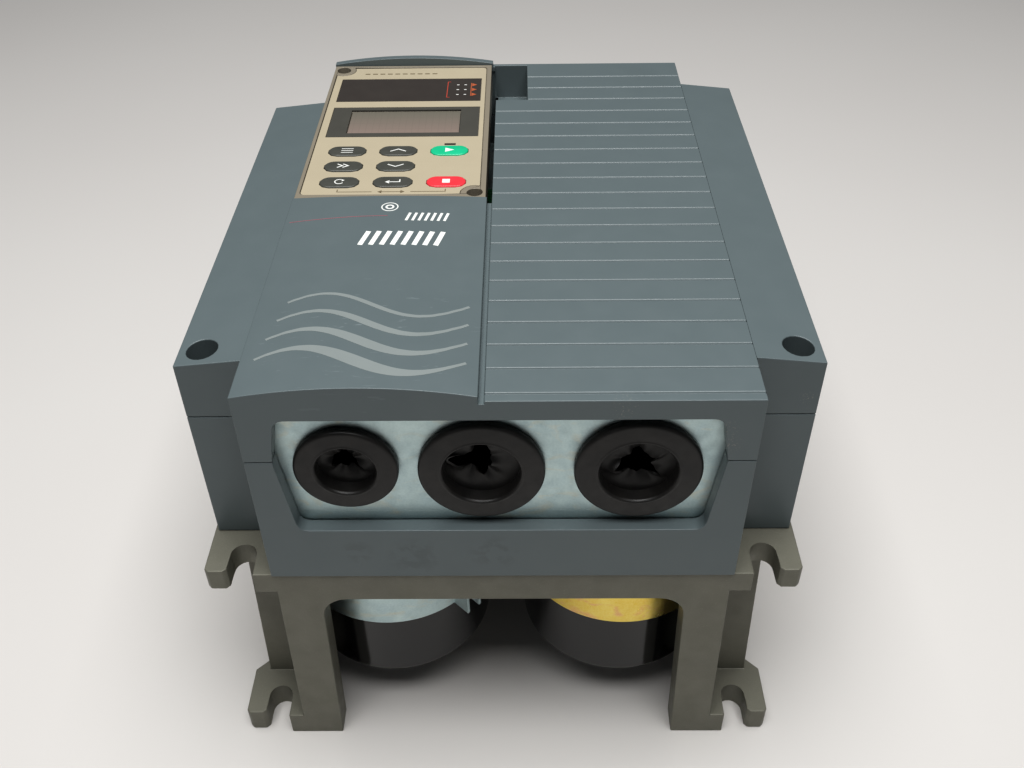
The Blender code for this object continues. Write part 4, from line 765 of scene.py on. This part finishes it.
def guard(side, x, z):
    """Finger guard of bent wire: rings and crossed bars welded to a washer at each fan bolt."""
    node = "fan_guard_" + side
    low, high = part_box(node)
    place = facing_front(x, (low.y + high.y) / 2, z)
    wire = 0.9 * GUARD_WIRE
    parts = []
    for radius in GUARD_RINGS:
        circle = [(radius + wire * cos(a), wire * sin(a)) for a in (2 * pi * k / 10 for k in range(10))]
        parts.append(to_mesh("ring", lathe(circle, 72, Matrix.Identity(4)), 60))
    reach = GUARD_BOLT * 2 ** 0.5
    form = bmesh.new()
    bmesh.ops.create_cone(form, cap_ends=True, segments=12, radius1=wire * 0.9, radius2=wire * 0.9,
                          depth=reach - 3 * MM)
    bmesh.ops.transform(form, verts=form.verts, matrix=Matrix.Translation((reach / 2, 0, 0))
                        @ Matrix.Rotation(pi / 2, 4, "Y"))
    washer = [(2.2 * MM, -0.6 * MM), (3.6 * MM, -0.6 * MM), (3.6 * MM, 0.6 * MM), (2.2 * MM, 0.6 * MM)]
    eye = lathe(rounded(washer, 0.3 * MM, 3), 32, Matrix.Translation((reach, 0, 0)))
    arm = joined("arm", [to_mesh("bar", form), to_mesh("eye", eye)])
    arm.transform(Matrix.Rotation(pi / 4, 4, "Z"))
    parts.append(repeated(RING, arm, MATERIALS["steel_screw"], Count=4))
    mesh = joined(node, parts, 60)
    mesh.transform(place)
    place_piece(node + "_finished", mesh, BODY, "steel_screw", [MATERIALS["steel_screw"]], node)


# ---------------------------------------------------------------- screws

def screw(node, head_radius, head_height, shank_radius):
    """An upright screw with a cross recess in its pan head, as long as its CAD node."""
    low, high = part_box(node)
    middle = (low + high) / 2
    length = high.z - low.z
    profile = [(0, 0), (head_radius, 0), (head_radius, -head_height), (shank_radius, -head_height),
               (shank_radius, -length), (0, -length)]
    soft = [0, head_height * 0.7, 0.1 * MM, 0, 0.3 * MM, 0]
    form = lathe(rounded(profile, soft, 5), 40, Matrix.Identity(4), closed=False)
    head = to_mesh(node, form, 40)
    cutter = bmesh.new()
    for dx, dy in ((0.75, 0.14), (0.14, 0.75)):
        solid_box(cutter, (-dx * head_radius, -dy * head_radius, -0.6 * head_height),
                  (dx * head_radius, dy * head_radius, MM))
    mesh = without(head, to_mesh("recess", cutter))
    mesh.transform(Matrix.Translation(middle) @ Matrix.Translation((0, 0, length / 2)))
    place_piece(node + "_finished", mesh, BODY, "steel_screw", [MATERIALS["steel_screw"]], node)


# ---------------------------------------------------------------- keypad

def stadium(length, width, steps=14):
    """Outline of a bar with round ends, about the origin."""
    reach = (length - width) / 2
    return [(side * reach + width / 2 * cos(a), width / 2 * sin(a))
            for side, start in ((1, -pi / 2), (-1, pi / 2))
            for a in (start + pi * k / steps for k in range(steps + 1))]


def button_cap(node):
    """A soft cap with a rounded rim and a flat top."""
    low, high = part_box(node)
    middle = (low + high) / 2
    levels = [(0, low.z + 6 * MM)]
    levels += [(CAP_ROUNDING * (1 - cos(a)), high.z - CAP_ROUNDING * (1 - sin(a)))
               for a in (pi / 2 * k / 5 for k in range(6))]
    form = bmesh.new()
    rings = []
    for inset, height in levels:
        outline = stadium(CAP_LENGTH - 2 * inset, CAP_WIDTH - 2 * inset)
        rings.append([form.verts.new((middle.x + x, middle.y + y, height)) for x, y in outline])
    skinned(form, rings)
    form.faces.new(rings[0][::-1])
    form.faces.new(rings[-1])
    slot = SLOTS[node]
    place_piece(node + "_finished", to_mesh(node, form, 50), node, slot, [MATERIALS[slot]], node)
    return Vector((middle.x, middle.y, high.z))


def stroke(points, width):
    """A line of even width through (x, y) points, as its left and right sides."""
    points = [Vector(p) for p in points]
    sides = ([], [])
    for i, point in enumerate(points):
        before = (point - points[i - 1]).normalized() if i else None
        after = (points[i + 1] - point).normalized() if i + 1 < len(points) else None
        along = (before or after) + (after or before)
        normal = Vector((-along.y, along.x)).normalized()
        bend = (before or after).dot(along.normalized())
        for side, sign in zip(sides, (1, -1)):
            side.append(point + normal * sign * width / 2 / max(bend, 0.5))
    return sides


def bar(x, y, width, height):
    """A filled oblong about a point."""
    return stroke([(x - width / 2, y), (x + width / 2, y)], height)


def bow(centre, radius, start, end, steps=20):
    """Points along an arc, between two angles in degrees."""
    return [(centre[0] + radius * cos(radians(start + (end - start) * k / steps)),
             centre[1] + radius * sin(radians(start + (end - start) * k / steps)))
            for k in range(steps + 1)]


def arrow_head(x, y, size, way):
    """A filled triangle whose point is at (x, y), pointing along +X or -X."""
    return ([Vector((x - way * size, y + size * 0.7)), Vector((x, y))],
            [Vector((x - way * size, y - size * 0.7)), Vector((x, y))])


SYMBOLS = {  # on each key, in millimetres about its middle
    "program": [bar(0, y, 5.2, 0.45) for y in (-1.7, 0, 1.7)],
    "shift": [stroke([(-2.6, 1.5), (-0.3, 0), (-2.6, -1.5)], 0.6),
              stroke([(-0.2, 1.5), (2.1, 0), (-0.2, -1.5)], 0.6)],
    "reset": [stroke(bow((0, 0), 1.8, 60, 330), 0.5), arrow_head(2.2, 1.1, 1.2, 1)],
    "up": [stroke([(-3.4, -1), (0, 1), (3.4, -1)], 0.6)],
    "down": [stroke([(-3.4, 1), (0, -1), (3.4, 1)], 0.6)],
    "data": [stroke([(3, 1.5), (3, -0.5), (-1.6, -0.5)], 0.55), arrow_head(-3.2, -0.5, 1.9, -1)],
    "run": [([Vector((-1.8, 1.9)), Vector((2.2, 0))], [Vector((-1.8, -1.9)), Vector((2.2, 0))])],
    "stop": [bar(0, 0, 3.2, 3.2)],
}


def printed(name, strips, height, body, slot, ink):
    """Ink on a surface: each strip is two sides; height(x, y) gives the surface under a point."""
    form = bmesh.new()
    for left, right in strips:
        skins = []
        for lift in (INK, -INK):
            skins.append([[form.verts.new((*p.xy, height(*p.xy) + lift)) for p in side]
                          for side in (left, right)])
        (top_l, top_r), (low_l, low_r) = skins
        for i in range(len(left) - 1):
            form.faces.new((top_l[i], top_r[i], top_r[i + 1], top_l[i + 1]))
            form.faces.new((low_l[i], low_l[i + 1], low_r[i + 1], low_r[i]))
            form.faces.new((top_l[i], top_l[i + 1], low_l[i + 1], low_l[i]))
            form.faces.new((top_r[i], low_r[i], low_r[i + 1], top_r[i + 1]))
        form.faces.new((top_l[0], low_l[0], low_r[0], top_r[0]))
        form.faces.new((top_l[-1], top_r[-1], low_r[-1], low_l[-1]))
    bmesh.ops.remove_doubles(form, verts=form.verts, dist=WELD)
    return place_piece(name, to_mesh(name, form), body, slot, [ink])


def moved(strips, x, y, scale=MM):
    """Strips drawn in millimetres, put at a place in metres."""
    return [tuple([Vector((x, y)) + p * scale for p in side] for side in strip) for strip in strips]


def keypad():
    """The eight caps with their symbols, and what is printed on the film round them."""
    film_low, film_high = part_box("keypad_overlay")

    def on_film(x, y):
        return film_high.z

    for name, strips in SYMBOLS.items():
        node = "button_" + name
        top = button_cap(node)
        printed("symbol_" + name, moved(strips, top.x, top.y), lambda x, y: top.z, node,
                SLOTS[node], WHITE_INK)
    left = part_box("button_reset")
    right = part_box("button_stop")
    x0, x1 = (left[0].x + left[1].x) / 2, (right[0].x + right[1].x) / 2
    line = film_low.y + 2.3 * MM
    middle = (x0 + x1) / 2
    tick = line + 2 * MM
    rules = [stroke([(x0, tick), (x0, line), (middle - 8 * MM, line)], 0.35 * MM),
             stroke([(middle + 8 * MM, line), (x1, line), (x1, tick)], 0.35 * MM),
             stroke([(middle - 4 * MM, line), (middle + 4 * MM, line)], 0.35 * MM)]
    rules += moved([arrow_head(5.6, 0, 1.7, 1), arrow_head(-5.6, 0, 1.7, -1)], middle, line)
    printed("keypad_rules", rules, on_film, BODY, "keypad_film", DARK_INK)
    title_dashes(film_high)
    led_marks()


def title_dashes(film_high):
    """A row of short dashes along the top of the film."""
    form = bmesh.new()
    low = Vector((-0.0695, film_high.y - 7.2 * MM, film_high.z - INK))
    solid_box(form, low, low + Vector((2.4 * MM, 0.9 * MM, 2 * INK)))
    dash = to_mesh("dash", form)
    mesh = repeated(ROW, dash, DARK_INK, Count=10, Pitch=(3.7 * MM, 0, 0))
    place_piece("keypad_title_dashes", mesh, BODY, "keypad_film", [DARK_INK])


def led_marks():
    """The indicator table at the right of the smoked window: a bracket, lamps and pointers."""
    low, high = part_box("led_window")
    x, y = high.x - 16 * MM, (low.y + high.y) / 2
    half = 8.6 * MM

    def on_window(px, py):
        return high.z

    bracket = [stroke([(x + 1.4 * MM, y + half), (x, y + half), (x, y - half), (x + 1.4 * MM, y - half)],
                      0.45 * MM)]
    printed("led_bracket", bracket, on_window, BODY, "smoked_window", RED_INK)
    lamps = [bar(column, row, 1.2, 0.7) for column in (5, 8.6) for row in (-5.6, -0.2, 5.2)]
    printed("led_lamps", moved(lamps, x, y), on_window, BODY, "smoked_window", WHITE_INK)
    pointers = [arrow_head(14.2, row, 2.4, 1) for row in (-5.6, -0.2, 5.2)]
    pointers.append(stroke([(11.4, -7.2), (11.4, 7.2)], 0.4))
    printed("led_pointers", moved(pointers, x, y), on_window, BODY, "smoked_window", AMBER_INK)


# ---------------------------------------------------------------- printing on the crown

def crown_height(cover):
    """The height of the front cover's surface under a point, from its finished mesh."""
    form = bmesh.new()
    form.from_mesh(cover.data)
    surface = BVHTree.FromBMesh(form)
    form.free()
    ceiling = CAD_BOX[1][2] + 10 * MM

    def height(x, y):
        hit = surface.ray_cast(Vector((x, y, ceiling)), Vector((0, 0, -1)))[0]
        return hit.z
    return height


def band(x0, x1, y, swing, widths, steps=90):
    """A flowing ribbon: one slow wave whose width swells towards the middle of its length."""
    left, right = [], []
    for k in range(steps + 1):
        t = k / steps
        x = x0 + (x1 - x0) * t
        phase = 2 * pi * 0.95 * t + 0.4
        slope = swing * 2 * pi * 0.95 / (x1 - x0) * cos(phase)
        normal = Vector((-slope, 1)).normalized()
        point = Vector((x, y + swing * sin(phase)))
        width = widths[0] + (widths[1] - widths[0]) * sin(pi * t) ** 2
        left.append(point + normal * width / 2)
        right.append(point - normal * width / 2)
    return left, right


def crown_printing(cover):
    """Flowing bands, two rows of slanted strokes, a ring and one hairline, all generic."""
    height = crown_height(cover)
    bands = [band(CROWN_EDGE + 3 * MM + 2 * MM * k, -0.0105, -0.1145 + 10.5 * MM * k, 7 * MM,
                  (1.2 * MM, (5.2 - 1.1 * k) * MM)) for k in range(4)]
    printed("wave_motif", bands, height, BODY, "cover_plastic", PALE_INK)
    strokes = [stroke([(x + 2.4 * MM * t / 10, -0.0435 + MM * t) for t in range(11)], 2.0 * MM)
               for x in (-0.0535 + 4.1 * MM * k for k in range(8))]
    strokes += [stroke([(x + 1.3 * MM * t / 6, -0.0252 + MM * t) for t in range(7)], 1.1 * MM)
                for x in (-0.0375 + 2.5 * MM * k for k in range(7))]
    for radius, width in ((3.2 * MM, 0.5 * MM), (1.4 * MM, 0.8 * MM)):
        strokes.append(stroke(bow((-0.0448, -0.0145), radius, 0, 360, 48), width))
    printed("slanted_strokes", strokes, height, BODY, "cover_plastic", WHITE_INK)
    hairline = [(CROWN_EDGE + 0.0385 * k / 24, -0.0245 + 0.003 * sin(pi / 2 * k / 24))
                for k in range(25)]
    printed("crown_hairline", [stroke(hairline, 0.4 * MM)], height, BODY, "cover_plastic",
            FAINT_RED_INK)


# ---------------------------------------------------------------- studio

def studio():
    """A pale paper floor, one softbox above the cable end, and a camera that looks down at it."""
    form = bmesh.new()
    bmesh.ops.create_grid(form, x_segments=1, y_segments=1, size=3)
    floor = bpy.data.objects.new("floor", to_mesh("floor", form))
    bpy.context.scene.collection.objects.link(floor)
    material, tree, shader = new_material("matt_paper", Roughness=0.9)
    tree.links.new(blend(tree, noise(tree, 0.3, 2), "CBC8C5", "D0CECB"), shader.inputs["Base Color"])
    floor.data.materials.append(material)
    world = bpy.data.worlds.new("studio")
    world.use_nodes = True
    background = world.node_tree.nodes["Background"]
    background.inputs["Color"].default_value = linear("E9EBEE")
    background.inputs["Strength"].default_value = 0.14
    bpy.context.scene.world = world
    lamp = bpy.data.lights.new("softbox", "AREA")
    lamp.shape = "SQUARE"
    lamp.size = 1.1
    lamp.energy = 35
    holder = bpy.data.objects.new("softbox", lamp)
    holder.location = (0, -0.25, 1.5)
    aim = Vector((0, -0.05, 0)) - holder.location
    holder.rotation_euler = aim.to_track_quat("-Z", "Y").to_euler()
    bpy.context.scene.collection.objects.link(holder)
    view = bpy.data.cameras.new("camera")
    view.lens = 36.77
    view.sensor_width = 36
    camera = bpy.data.objects.new("camera", view)
    camera.location = (0.00826, -0.37926, 0.40796)
    camera.rotation_euler = (0.87056, 0.01139, 0.00508)
    bpy.context.scene.collection.objects.link(camera)
    bpy.context.scene.camera = camera
    settings = bpy.context.scene.view_settings
    settings.view_transform = "Standard"
    settings.gamma = 0.8


# ---------------------------------------------------------------- the whole drive

for node_name, node_object in NODES.items():
    node_object.data.materials.clear()
    node_object.data.materials.append(MATERIALS[SLOTS[node_name]])
NODES["run_lamp"].data.materials[0] = MATERIALS["smoked_window"]
studio()
finished = {node_name: refined(node_name, width) for node_name, width in EDGE.items()}
grommets()
plate_fold()
capacitors()
clamps()
heatsink()
fans()
for place_name in ("upper", "lower"):
    screw("keypad_screw_" + place_name, 2.7 * MM, 2.2 * MM, 1.4 * MM)
for place_name in ("left", "right"):
    screw("side_cover_screw_" + place_name, 4 * MM, 3 * MM, 1.7 * MM)
keypad()
crown_printing(finished["front_cover"])
